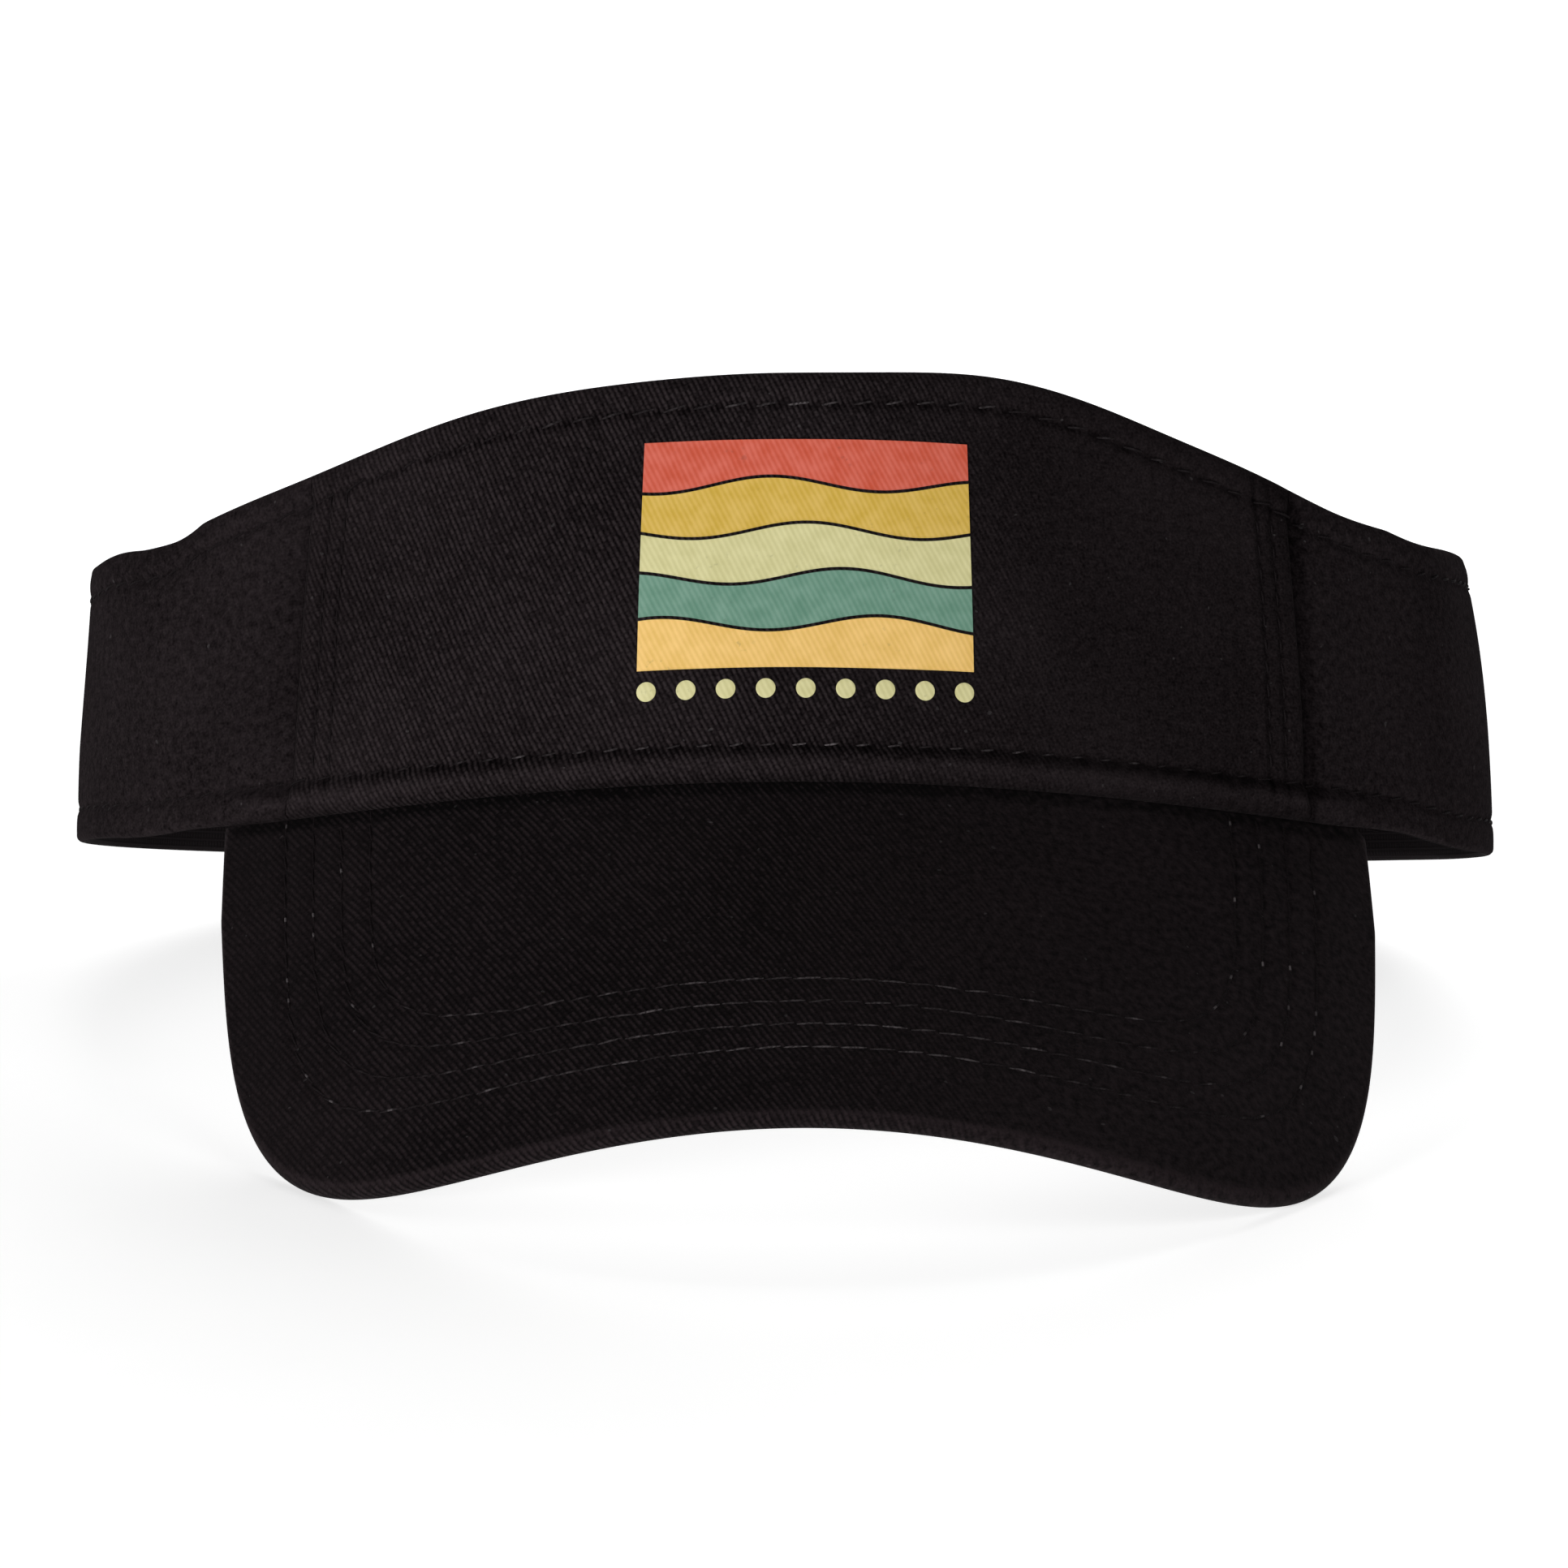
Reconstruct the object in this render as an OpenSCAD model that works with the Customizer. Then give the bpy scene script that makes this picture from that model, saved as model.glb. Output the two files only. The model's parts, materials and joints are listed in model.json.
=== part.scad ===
// Sun visor: a twill head band that is open at the top, a curved bill and a hook-and-loop closure.
// Lengths are in millimetres. The band is drawn round its own ring, with the front towards -Y, and is
// then tipped back into the pose that it takes on a table, on the corners of the bill and the back edge.

/* [Head band] */
// Outside width of the band at its lower edge
band_w = 211; // [200:1:225]
// Outside depth of the band at its lower edge, front to back
band_d = 159; // [150:1:175]
// Radius of the band's rounded sides, seen from above
side_r = 60; // [52:1:66]
// Height of the band at the middle of the front, along the cloth
front_h = 59; // [52:0.5:70]
// Height of the band at the sides
side_h = 42; // [36:0.5:48]
// Height of the band at the back
back_h = 34; // [33:0.5:40]
// Lean of the front towards the head
front_lean = 8; // [4:0.5:12]
// Lean of the sides and the back towards the head
side_lean = 4.2; // [2:0.1:6]
// Rise of the lower edge at the middle of the front
front_rise = 7.5; // [5:0.5:10]
// Angle round the band that the high front takes up, each way from the middle
crest_angle = 61; // [54:1:70]
// Angle round the band from the middle of the front to each side seam
seam_angle = 36.7; // [32:0.1:40]
// How far the cloth swells out between its edges
swell = 0.8; // [0:0.1:1.5]

/* [Cloth] */
// Thickness of the outer twill
twill_t = 0.8; // [0.6:0.05:1]
// Thickness of the lining cloth
lining_t = 0.6; // [0.4:0.05:0.8]
// Thickness of the stiff interlining behind the front
interlining_t = 0.6; // [0.4:0.05:0.9]
// Thickness of the tape that covers a seam
tape_t = 0.5; // [0.3:0.05:0.7]
// Width of the tape that covers a seam
tape_w = 11; // [8:0.5:16]
// Gap between plies that lie on each other
ply_gap = 0.15; // [0.1:0.01:0.2]
// How far the inner plies stay back from the lower and upper edges of the band
lining_inset = 1.2; // [0.5:0.1:3]

/* [Sweatband] */
// Height of the sweatband
sweat_w = 32; // [24:1:36]
// Thickness of the sweatband
sweat_t = 2.2; // [1.4:0.1:3]
// Angle round the band that the sweatband covers, each way from the middle
sweat_angle = 62; // [50:1:80]

/* [Bill] */
// Width of the bill, laid flat
bill_w = 178.5; // [166:0.5:184]
// Length of the bill at its middle, from the seam to the front edge
bill_l = 69.5; // [60:0.5:80]
// Slope of the bill below the plane of the band
bill_slope = 43; // [36:1:48]
// Radius that the bill is curved to at the seam
bill_seam_r = 138; // [125:1:160]
// Radius that the bill is curved to at the front edge
bill_edge_r = 97; // [92:1:135]
// Squareness of the bill's front corners
bill_corner = 3.8; // [2.6:0.1:4.5]
// Width of the bill at its two ends
bill_end_w = 3; // [2:0.5:6]
// Thickness of the stiff board in the bill
board_t = 1.6; // [1.2:0.1:2.4]
// Thickness of the bill's covers
cover_t = 0.6; // [0.5:0.05:0.8]
// How far the covers reach past the board
cover_edge = 1.6; // [1:0.1:2.5]

/* [Closure] */
// Width of the strap
strap_w = 29; // [24:0.5:31]
// Thickness of the strap
strap_t = 1.4; // [1:0.1:1.8]
// Width of the hook and loop tapes
patch_w = 25; // [20:0.5:26]
// Thickness of the loop tape
loop_t = 1.2; // [0.8:0.1:1.6]
// Thickness of the hook tape
hook_t = 1; // [0.8:0.1:1.4]
// Gap between the strap or its hooks and what they lie on
closure_gap = 0.35; // [0.3:0.05:0.4]
// Distance from the middle of the back to the end of the right arm, which holds the strap
right_arm_short = 47; // [45:1:52]
// Distance that the left arm reaches past the middle of the back, under the strap
left_arm_past = 13; // [8:1:18]
// Length of the strap that lies inside the right arm
strap_held = 30; // [25:1:31]
// How far the strap slides each way when the band is set to a head
slide_travel = 20; // [10:1:20]
// Length of strap between the right arm and the line where it folds, with the strap slid right in
fold_clear = 4.6; // [3:0.1:6]
// Distance that the strap's tip reaches past the middle of the back
tip_past = 55.5; // [50:0.5:60]
// Radius of the corners of the strap's tip
tip_r = 9; // [4:0.5:12]
// Length of the hook tape on the strap
hook_l = 51; // [40:1:55]
// Length of the loop tape on the left arm
loop_l = 99; // [90:1:105]
// Distance from the end of the strap or arm to the tape that is sewn on it
patch_inset = 2.5; // [1.5:0.5:4]

/* [Print] */
// Width of the print on the front
print_w = 48.6; // [30:0.2:56]
// Height of the print's wavy bands, all together
print_h = 33; // [24:0.5:36]
// Height of the print's lower edge above the lower edge of the front
print_low = 11.4; // [8:0.2:14]
// Thickness of the print's film
film_t = 0.2; // [0.1:0.05:0.3]
// Gap between the print's bands
band_gap = 0.5; // [0.3:0.1:1]
// Height of the waves in the print
wave_h = 2.2; // [0:0.1:2.5]
// Diameter of the dots under the bands
dot_d = 2.8; // [2:0.1:3.4]
// Gap between the dots and the bands
dot_gap = 1.6; // [0.8:0.1:3]

/* [Hidden] */

twill_colour = "#1d1a1b";
lining_colour = "#211e1f";
terry_colour = "#262324";
tape_colour = "#161415";
board_colour = "#d8d6d0";
print_colours = ["#c8614b", "#cdab50", "#cbc693", "#6f9482", "#e5c070"];

// The ring is an oval of four arcs: the front and back arcs share one radius, and the side arcs join them.
half_w = band_w / 2;
half_d = band_d / 2;
arc_r = (pow(half_w - side_r, 2) + pow(half_d, 2) - pow(side_r, 2)) / (2 * (half_d - side_r));
arc_turn = atan2(half_w - side_r, arc_r - half_d);
back_centre = [0, half_d - arc_r];

// Angles round the ring: where the lower edge stops rising, where the height falls to the back, and where
// the swell of the cloth ends.
rise_angle = 62;
crest_power = 1.2;
fall_start = 80;
fall_end = 150;
swell_end = 120;

function half_turn(share) = 90 * min(max(share, 0), 1);
function fade(share) = pow(cos(half_turn(share)), 2);

// Radius and centre of the arc that the ring follows at an angle, counted from the front towards the right.
function on_side(a) = abs(a) > arc_turn && abs(a) < 180 - arc_turn;
function ring_r(a) = on_side(a) ? side_r : arc_r;
function ring_centre(a) = on_side(a) ? [sign(a) * (half_w - side_r), 0]
    : abs(a) < 90 ? [0, arc_r - half_d] : back_centre;

function low_edge(a) = front_rise * fade(abs(a) / rise_angle);
function crest(a) = fade(pow(abs(a) / crest_angle, crest_power));
function band_h(a) = side_h + (front_h - side_h) * crest(a)
    - (side_h - back_h) * (1 - fade((abs(a) - fall_start) / (fall_end - fall_start)));
function band_lean(a) = side_lean + (front_lean - side_lean) * fade(abs(a) / crest_angle);
function band_swell(a, h) = 4 * swell * fade(abs(a) / swell_end) * (h / band_h(a)) * (1 - h / band_h(a));

// A point on the band: an angle round it, a height up the cloth and an offset out from its outer face.
function band_point(a, h, offset) =
    let (lean = band_lean(a),
         out = offset + band_swell(a, h),
         r = ring_r(a) + out * cos(lean) - h * sin(lean),
         c = ring_centre(a))
    [c.x + r * sin(a), c.y - r * cos(a), low_edge(a) + h * cos(lean) + out * sin(lean)];

// Degrees round an arc that a length along it takes up.
function arc_deg(length, r) = length / r * 180 / PI;
function back_angle(past_middle) = 180 + arc_deg(past_middle, arc_r);

// Offsets of the plies, from the outer face of the band inwards.
front_interlining_out = -twill_t - ply_gap;
front_lining_out = front_interlining_out - interlining_t - ply_gap;
side_lining_out = -twill_t - ply_gap;
tape_out = front_lining_out - lining_t - ply_gap;
sweat_out = tape_out - tape_t - ply_gap;

// Offsets of the closure's plies, from the outer face of the left arm outwards.
loop_in = ply_gap;
hook_in = loop_in + loop_t + closure_gap;
strap_in = hook_in + hook_t + ply_gap;
strap_out = strap_in + strap_t;

// The right arm's plies stand out at the back, to hold the strap between them.
right_panel_rise = strap_out + closure_gap + twill_t;
right_lining_rise = strap_in - closure_gap - side_lining_out;
rise_span = 27;
rise_lead = 2;
rise_end = 180 - arc_turn - rise_lead;
function arm_rise(a) = 1 - fade((a - rise_end + rise_span) / rise_span);

// Angles of the ends of the arms and the strap. The left arm's is counted from the front by way of the left.
right_end_angle = back_angle(-right_arm_short);
left_end_angle = back_angle(left_arm_past);
tail_angle = back_angle(-right_arm_short - strap_held);
fold_angle = back_angle(slide_travel + fold_clear - right_arm_short);
tip_angle = back_angle(tip_past);
fold_gap_angle = arc_deg(closure_gap, arc_r);
strap_low = (back_h - strap_w) / 2;
patch_low = (back_h - patch_w) / 2;

// The bill is a board that is bent round an axis in the middle plane, which falls away to the front. A place
// on it is given on the flat board: across from the middle, and forward from the middle of the seam.
bill_half = bill_w / 2;
bill_t = 2 * cover_t + board_t + 2 * ply_gap;
bill_seam_out = front_interlining_out - interlining_t;
bill_top_z = front_rise - ply_gap;
function bill_r(forward) = bill_seam_r + (bill_edge_r - bill_seam_r) * max(forward, 0) / bill_l;
function bent(across, forward) = across / bill_r(forward) * 180 / PI;
function bill_bend(across, forward) =
    let (r = bill_r(forward),
         drop = r * (1 - cos(bent(across, forward))))
    [r * sin(bent(across, forward)),
     -half_d - forward * cos(bill_slope) + drop * sin(bill_slope),
     bill_top_z - forward * sin(bill_slope) - drop * cos(bill_slope)];
function bill_normal(across, forward) =
    let (b = bent(across, forward))
    [sin(b), -sin(bill_slope) * cos(b), cos(bill_slope) * cos(b)];

// The inner edge of the bill lies under the band, all along the seam.
bill_end_x = bill_seam_r * sin((bill_half - bill_end_w) / bill_seam_r * 180 / PI);
bill_angle = asin(bill_end_x / (arc_r + bill_seam_out));
function seam_point(a) = band_point(a, 0, bill_seam_out) - [0, 0, ply_gap];
function seam_flat(a) =
    let (p = seam_point(a),
         b = asin(p.x / bill_seam_r),
         drop = bill_seam_r * (1 - cos(b)))
    [b * PI / 180 * bill_seam_r, (-half_d - p.y + drop * sin(bill_slope)) / cos(bill_slope)];
function seam_lift(a) =
    let (flat = seam_flat(a))
    seam_point(a).z - bill_bend(flat.x, flat.y).z;

// The outer edge of the bill, by the direction from the middle of the seam: 0 is right and 180 is left.
bill_end_dir = atan2(seam_flat(bill_angle).y, bill_half);
function edge_flat(dir) =
    dir < 0 ? [bill_half, bill_half * tan(dir)]
    : dir > 180 ? [-bill_half, -bill_half * tan(dir)]
    : let (reach = pow(pow(abs(cos(dir)) / bill_half, bill_corner)
                       + pow(sin(dir) / bill_l, bill_corner), -1 / bill_corner))
      [reach * cos(dir), reach * sin(dir)];
function seam_at(dir) = bill_angle * (90 - dir) / (90 - bill_end_dir);

// A place on the bill: a direction, a distance in from the outer edge and an offset up from the upper face.
function bill_point(dir, from_edge, offset) =
    let (a = seam_at(dir),
         inner = seam_flat(a),
         outer = edge_flat(dir),
         share = min(from_edge / norm(outer - inner), 1),
         flat = outer + (inner - outer) * share)
    bill_bend(flat.x, flat.y) + [0, 0, seam_lift(a) * share * share]
        + offset * bill_normal(flat.x, flat.y);
function bill_reach(dir) = norm(edge_flat(dir) - seam_flat(seam_at(dir)));

bill_steps = 40;
cover_cols = 5;
curl_cols = 3;
board_cols = 5;
bill_dirs = [for (i = [0:bill_steps]) bill_end_dir + (180 - 2 * bill_end_dir) * i / bill_steps];

// The covers of the bill meet at half its thickness, past the edge of the board.
cover_curl = board_t / 2 + ply_gap / 2;
function cover_curve(from_edge) = cover_curl * pow(max(1 - from_edge / cover_edge, 0), 2);

// On a table the visor stands on the front corners of the bill and the back of the band.
bill_rim = [for (dir = bill_dirs, k = [0:curl_cols])
    bill_point(dir, cover_edge * k / curl_cols, cover_curve(cover_edge * k / curl_cols) - bill_t)];
function tipped(p, tilt) = [p.x, p.y * cos(tilt) + p.z * sin(tilt), p.z * cos(tilt) - p.y * sin(tilt)];
function lowest(points, tilt) =
    let (heights = [for (p = points) tipped(p, tilt).z])
    points[search(min(heights), heights)[0]];
first_tilt = 15;
settle_rounds = 6;
function settle(round = 0) = round > settle_rounds ? first_tilt
    : let (p = lowest(bill_rim, settle(round + 1)))
      atan2(-p.z, half_d - p.y);
rest_tilt = settle();
rest_low = min([for (p = bill_rim) tipped(p, rest_tilt).z]);
rest_front = min([for (p = bill_rim) tipped(p, rest_tilt).y]);
strap_back = [for (h = [strap_low, strap_low + strap_w]) tipped(band_point(180, h, strap_out), rest_tilt).y];
rest_shift = [0, -(rest_front + max(strap_back)) / 2, -rest_low];
module rest_pose() translate(rest_shift) rotate([-rest_tilt, 0, 0]) children();

// One closed solid between two equal grids of points, the face and the back of a ply.
module ply(face, back) {
    rows = len(face) - 1;
    cols = len(face[0]) - 1;
    side = (rows + 1) * (cols + 1);
    function f(i, j) = i * (cols + 1) + j;
    function b(i, j) = side + f(i, j);
    skins = [for (i = [0:rows - 1], j = [0:cols - 1]) each [
        [f(i, j), f(i, j + 1), f(i + 1, j + 1)], [f(i, j), f(i + 1, j + 1), f(i + 1, j)],
        [b(i, j), b(i + 1, j + 1), b(i, j + 1)], [b(i, j), b(i + 1, j), b(i + 1, j + 1)]]];
    long_edges = [for (i = [0:rows - 1]) each [
        [f(i, 0), f(i + 1, 0), b(i + 1, 0)], [f(i, 0), b(i + 1, 0), b(i, 0)],
        [f(i + 1, cols), f(i, cols), b(i, cols)], [f(i + 1, cols), b(i, cols), b(i + 1, cols)]]];
    short_edges = [for (j = [0:cols - 1]) each [
        [f(0, j + 1), f(0, j), b(0, j)], [f(0, j + 1), b(0, j), b(0, j + 1)],
        [f(rows, j), f(rows, j + 1), b(rows, j + 1)], [f(rows, j), b(rows, j + 1), b(rows, j)]]];
    polyhedron(concat([for (r = face) each r], [for (r = back) each r]),
               concat(skins, long_edges, short_edges), convexity = 6);
}

// A ply of the band between two angles, from an outer offset inwards, with its two long edges drawn in.
// A flap is how far the ply stands out at the back, where it lies over the strap.
module band_ply(from, to, outer, t, low = 0, high = 0, steps = 24, rows = 5, flap = 0) {
    angles = [for (i = [0:steps]) from + (to - from) * i / steps];
    function grid(offset) = [for (a = angles) [for (j = [0:rows])
        band_point(a, low + (band_h(a) - low - high) * j / rows, offset + flap * arm_rise(a))]];
    ply(grid(outer), grid(outer - t));
}

// A piece of the closure, which follows the back arc of the band so that it can slide round it.
module back_ply(from, to, low, high, inner, t) {
    function corner(offset, h) = [arc_r + offset * cos(side_lean) - h * sin(side_lean),
                                  h * cos(side_lean) + offset * sin(side_lean)];
    translate([back_centre.x, back_centre.y, 0]) rotate([0, 0, from - 90])
        rotate_extrude(angle = to - from, $fn = 180)
            polygon([corner(inner, low), corner(inner + t, low),
                     corner(inner + t, high), corner(inner, high)]);
}

// Rounds off one corner of the strap's tip: the part of a square that lies outside a circle.
module tip_cut(h, up) {
    reach = strap_t + hook_t + loop_t;
    translate([back_centre.x, back_centre.y, 0]) rotate([0, 0, tip_angle - arc_deg(tip_r, arc_r) - 90])
        translate([arc_r + strap_in - reach - h * sin(side_lean), 0, h * cos(side_lean)])
            rotate([0, 90, 0]) linear_extrude(height = 3 * reach) difference() {
                translate([up > 0 ? -2 * tip_r : 0, 0]) square(2 * tip_r);
                circle(r = tip_r, $fn = 64);
            }
}

seam_gap_angle = arc_deg(ply_gap, arc_r) / 2;
front_edge_angle = seam_angle - seam_gap_angle;
side_edge_angle = seam_angle + seam_gap_angle;
front_steps = 26;
arm_steps = 40;

module front_panel() rest_pose() color(twill_colour)
    band_ply(-front_edge_angle, front_edge_angle, 0, twill_t, steps = front_steps, rows = 7);

module front_interlining() rest_pose() color(board_colour)
    band_ply(-front_edge_angle, front_edge_angle, front_interlining_out, interlining_t,
             low = lining_inset, high = lining_inset, steps = front_steps, rows = 5);

module front_lining() rest_pose() color(lining_colour)
    band_ply(-front_edge_angle, front_edge_angle, front_lining_out, lining_t,
             low = lining_inset, high = lining_inset, steps = front_steps, rows = 5);

module left_side_panel() rest_pose() color(twill_colour) mirror([1, 0, 0])
    band_ply(side_edge_angle, left_end_angle, 0, twill_t, steps = arm_steps, rows = 4);

module right_side_panel() rest_pose() color(twill_colour)
    band_ply(side_edge_angle, right_end_angle, 0, twill_t,
             steps = arm_steps, rows = 4, flap = right_panel_rise);

module left_side_lining() rest_pose() color(lining_colour) mirror([1, 0, 0])
    band_ply(side_edge_angle, left_end_angle, side_lining_out, lining_t,
             low = lining_inset, high = lining_inset, steps = arm_steps, rows = 4);

module right_side_lining() rest_pose() color(lining_colour)
    band_ply(side_edge_angle, right_end_angle, side_lining_out, lining_t,
             low = lining_inset, high = lining_inset, steps = arm_steps, rows = 4, flap = right_lining_rise);

module right_seam_tape() rest_pose() color(tape_colour)
    band_ply(seam_angle - arc_deg(tape_w, arc_r) / 2, seam_angle + arc_deg(tape_w, arc_r) / 2,
             tape_out, tape_t, low = lining_inset, high = lining_inset, steps = 4, rows = 5);

module left_seam_tape() mirror([1, 0, 0]) right_seam_tape();

// The sweatband is a soft folded strip, so that its edges are rounded.
module sweatband() {
    steps = 36;
    rows = 8;
    edge_share = 0.3;
    function half_t(j) = sweat_t / 2 * (edge_share + (1 - edge_share) * sqrt(1 - pow(2 * j / rows - 1, 4)));
    function grid(face) = [for (i = [0:steps]) [for (j = [0:rows])
        band_point(sweat_angle * (2 * i / steps - 1), lining_inset + sweat_w * j / rows,
                   sweat_out - sweat_t / 2 + face * half_t(j))]];
    rest_pose() color(terry_colour) ply(grid(1), grid(-1));
}

// Distances in from the edge of the bill: evenly over its middle, and closer together where the covers curl.
function inward(reach, edge, cols) = [for (j = [cols:-1:0]) edge + max(reach - edge, 0) * j / cols];
function cover_columns(dir) =
    let (reach = bill_reach(dir),
         edge = min(cover_edge, reach / 2))
    concat(inward(reach, edge, cover_cols), [for (k = [curl_cols - 1:-1:0]) edge * k / curl_cols]);

module bill_cover(outer, up) {
    function grid(offset) = [for (dir = bill_dirs) [for (d = cover_columns(dir))
        bill_point(dir, d, offset - up * cover_curve(d))]];
    ply(grid(outer), grid(outer - cover_t));
}

module bill_top_cover() rest_pose() color(twill_colour) bill_cover(0, 1);

module bill_under_cover() rest_pose() color(twill_colour) bill_cover(cover_t - bill_t, -1);

module bill_board() {
    outer = -cover_t - ply_gap;
    board_dirs = [for (dir = bill_dirs) if (bill_reach(dir) > 3 * cover_edge) dir];
    function grid(offset) = [for (dir = board_dirs)
        [for (d = inward(bill_reach(dir), cover_edge, board_cols)) bill_point(dir, d, offset)]];
    rest_pose() color(board_colour) ply(grid(outer), grid(outer - board_t));
}

module loop_tape() rest_pose() color(tape_colour) mirror([1, 0, 0]) {
    end = left_end_angle - arc_deg(patch_inset, arc_r);
    back_ply(end - arc_deg(loop_l, arc_r), end, patch_low, patch_low + patch_w, loop_in, loop_t);
}

module strap_base() rest_pose() color(twill_colour)
    back_ply(tail_angle, fold_angle - fold_gap_angle / 2, strap_low, strap_low + strap_w, strap_in, strap_t);

module strap_tab() rest_pose() color(twill_colour) difference() {
    back_ply(fold_angle + fold_gap_angle / 2, tip_angle, strap_low, strap_low + strap_w, strap_in, strap_t);
    tip_cut(strap_low + tip_r, -1);
    tip_cut(strap_low + strap_w - tip_r, 1);
}

module hook_tape() rest_pose() color(tape_colour) {
    end = tip_angle - arc_deg(patch_inset + tip_r / 3, arc_r);
    back_ply(end - arc_deg(hook_l, arc_r), end, patch_low, patch_low + patch_w, hook_in, hook_t);
}

// The print is five bands of film with wavy edges, one above the other, over a row of dots.
band_count = 5;
wave_count = 1.5;
wave_steps = 24;
film_in = ply_gap;
dot_count = 9;
bands_low = print_low + dot_d + dot_gap;
band_pitch = (print_h + band_gap) / band_count;
print_angle = arc_deg(print_w, arc_r);
function wave(share, edge) = edge == 0 || edge == band_count ? 0
    : wave_h / 2 * sin(360 * wave_count * share + 60 * edge);
function wave_edge(share, edge) = bands_low + band_pitch * edge + wave(share, edge);

// One band of the print, counted from the lowest.
module print_wave(band) {
    function height(share, top) = wave_edge(share, band + top) - top * band_gap;
    function grid(offset) = [for (i = [0:wave_steps]) [for (top = [0, 1])
        band_point(print_angle * (i / wave_steps - 0.5), height(i / wave_steps, top), offset)]];
    rest_pose() color(print_colours[band_count - 1 - band]) ply(grid(film_in + film_t), grid(film_in));
}

module print_dots() rest_pose() color(print_colours[2])
    for (i = [0:dot_count - 1]) {
        a = (print_angle - arc_deg(dot_d, arc_r)) * (i / (dot_count - 1) - 0.5);
        translate(band_point(a, print_low + dot_d / 2, film_in)) rotate([0, 0, a])
            rotate([90 - band_lean(a), 0, 0]) cylinder(d = dot_d, h = film_t, $fn = 32);
    }

front_panel();
front_interlining();
front_lining();
left_side_panel();
right_side_panel();
left_side_lining();
right_side_lining();
left_seam_tape();
right_seam_tape();
sweatband();
bill_top_cover();
bill_board();
bill_under_cover();
loop_tape();
strap_base();
strap_tab();
hook_tape();
print_wave(4);  // print_red_wave
print_wave(3);  // print_gold_wave
print_wave(2);  // print_cream_wave
print_wave(1);  // print_teal_wave
print_wave(0);  // print_amber_wave
print_dots();
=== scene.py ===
import json
import math

import bmesh
import bpy
import numpy as np
from mathutils import Matrix, Vector


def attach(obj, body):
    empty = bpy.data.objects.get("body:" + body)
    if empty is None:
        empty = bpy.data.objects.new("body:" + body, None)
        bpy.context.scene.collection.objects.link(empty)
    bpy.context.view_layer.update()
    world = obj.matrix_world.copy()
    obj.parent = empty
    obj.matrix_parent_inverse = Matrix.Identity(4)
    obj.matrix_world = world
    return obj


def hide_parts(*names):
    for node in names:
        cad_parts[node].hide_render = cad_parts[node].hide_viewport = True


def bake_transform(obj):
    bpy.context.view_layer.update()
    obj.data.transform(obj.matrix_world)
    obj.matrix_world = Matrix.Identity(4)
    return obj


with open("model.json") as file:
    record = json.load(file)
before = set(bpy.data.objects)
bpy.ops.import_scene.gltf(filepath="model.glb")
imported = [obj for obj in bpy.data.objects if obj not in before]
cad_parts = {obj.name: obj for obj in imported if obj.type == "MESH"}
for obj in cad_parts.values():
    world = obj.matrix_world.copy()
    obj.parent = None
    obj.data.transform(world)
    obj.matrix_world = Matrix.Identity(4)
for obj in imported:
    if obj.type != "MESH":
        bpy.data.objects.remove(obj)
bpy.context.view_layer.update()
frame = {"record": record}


# Front interlining
# A sheet of stiff white buckram, cut to the shape of the front and caught in its seams all round. It lies
# between the outer cloth and the lining, and keeps the front of the band upright.
mm = 0.001
half_w = 105.5
half_d = 79.5
side_r = 60.0
front_h = 59.0
side_h = 42.0
back_h = 34.0
front_lean = 8.0
side_lean = 4.2
front_rise = 7.5
rise_angle = 62.0
crest_angle = 61.0
crest_power = 1.2
fall_start = 80.0
fall_end = 150.0
swell = 0.8
swell_end = 120.0
seam_angle = 36.7
sharp_angle = math.radians(50)
# Height, angle and width of each wave in the band's upper edge.
edge_waves = ((1.9, 15, 9), (0.85, -25, 9), (-0.6, 42, 5), (-0.75, -50, 5))
# Height, side, start and span of each step in it.
edge_steps = ((2.8, 1, 40, 21), (-1.3, -1, 62, 18))
arc_r = ((half_w - side_r) ** 2 + half_d ** 2 - side_r ** 2) / (2 * (half_d - side_r))
arc_turn = math.degrees(math.atan2(half_w - side_r, arc_r - half_d))

head_opening = frame["record"]["mounts"][0]
ring_place = np.array(head_opening["pos_m"])
ring_up = -np.array(head_opening["axis"])
ring_right = np.array([1.0, 0.0, 0.0])
ring_back = np.cross(ring_up, ring_right)
ring_axes = np.array([ring_right, ring_back, ring_up])


def on_table(points):
    """Turns millimetres on the ring into metres on the table."""
    return ring_place + np.asarray(points) * mm @ ring_axes


def fade(share):
    """Falls smoothly from 1 to 0 as the share goes from 0 to 1."""
    return np.cos(np.pi / 2 * np.clip(share, 0, 1)) ** 2


def ring_length(a):
    """Length round the ring from the middle of the front to an angle; the left is negative."""
    turn = np.abs(a)
    front = np.radians(np.minimum(turn, arc_turn)) * arc_r
    side = np.radians(np.clip(turn, arc_turn, 180 - arc_turn) - arc_turn) * side_r
    back = np.radians(np.maximum(turn - 180 + arc_turn, 0)) * arc_r
    return np.sign(a) * (front + side + back)


def ring_angle(length):
    """Angle round the ring that a length from the middle of the front comes to."""
    turns = np.linspace(0, 210, 2101)
    return np.sign(length) * np.interp(np.abs(length), ring_length(turns), turns)


def dent(distance, width):
    """A soft bump, 1 high where the distance is 0."""
    return np.exp(-(distance / width) ** 2)


def raised(a):
    """How far the seam with the bill is sewn off its even line."""
    return (0.3 + 0.016 * a) * fade((np.abs(a) - 40) / 30)


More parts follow.
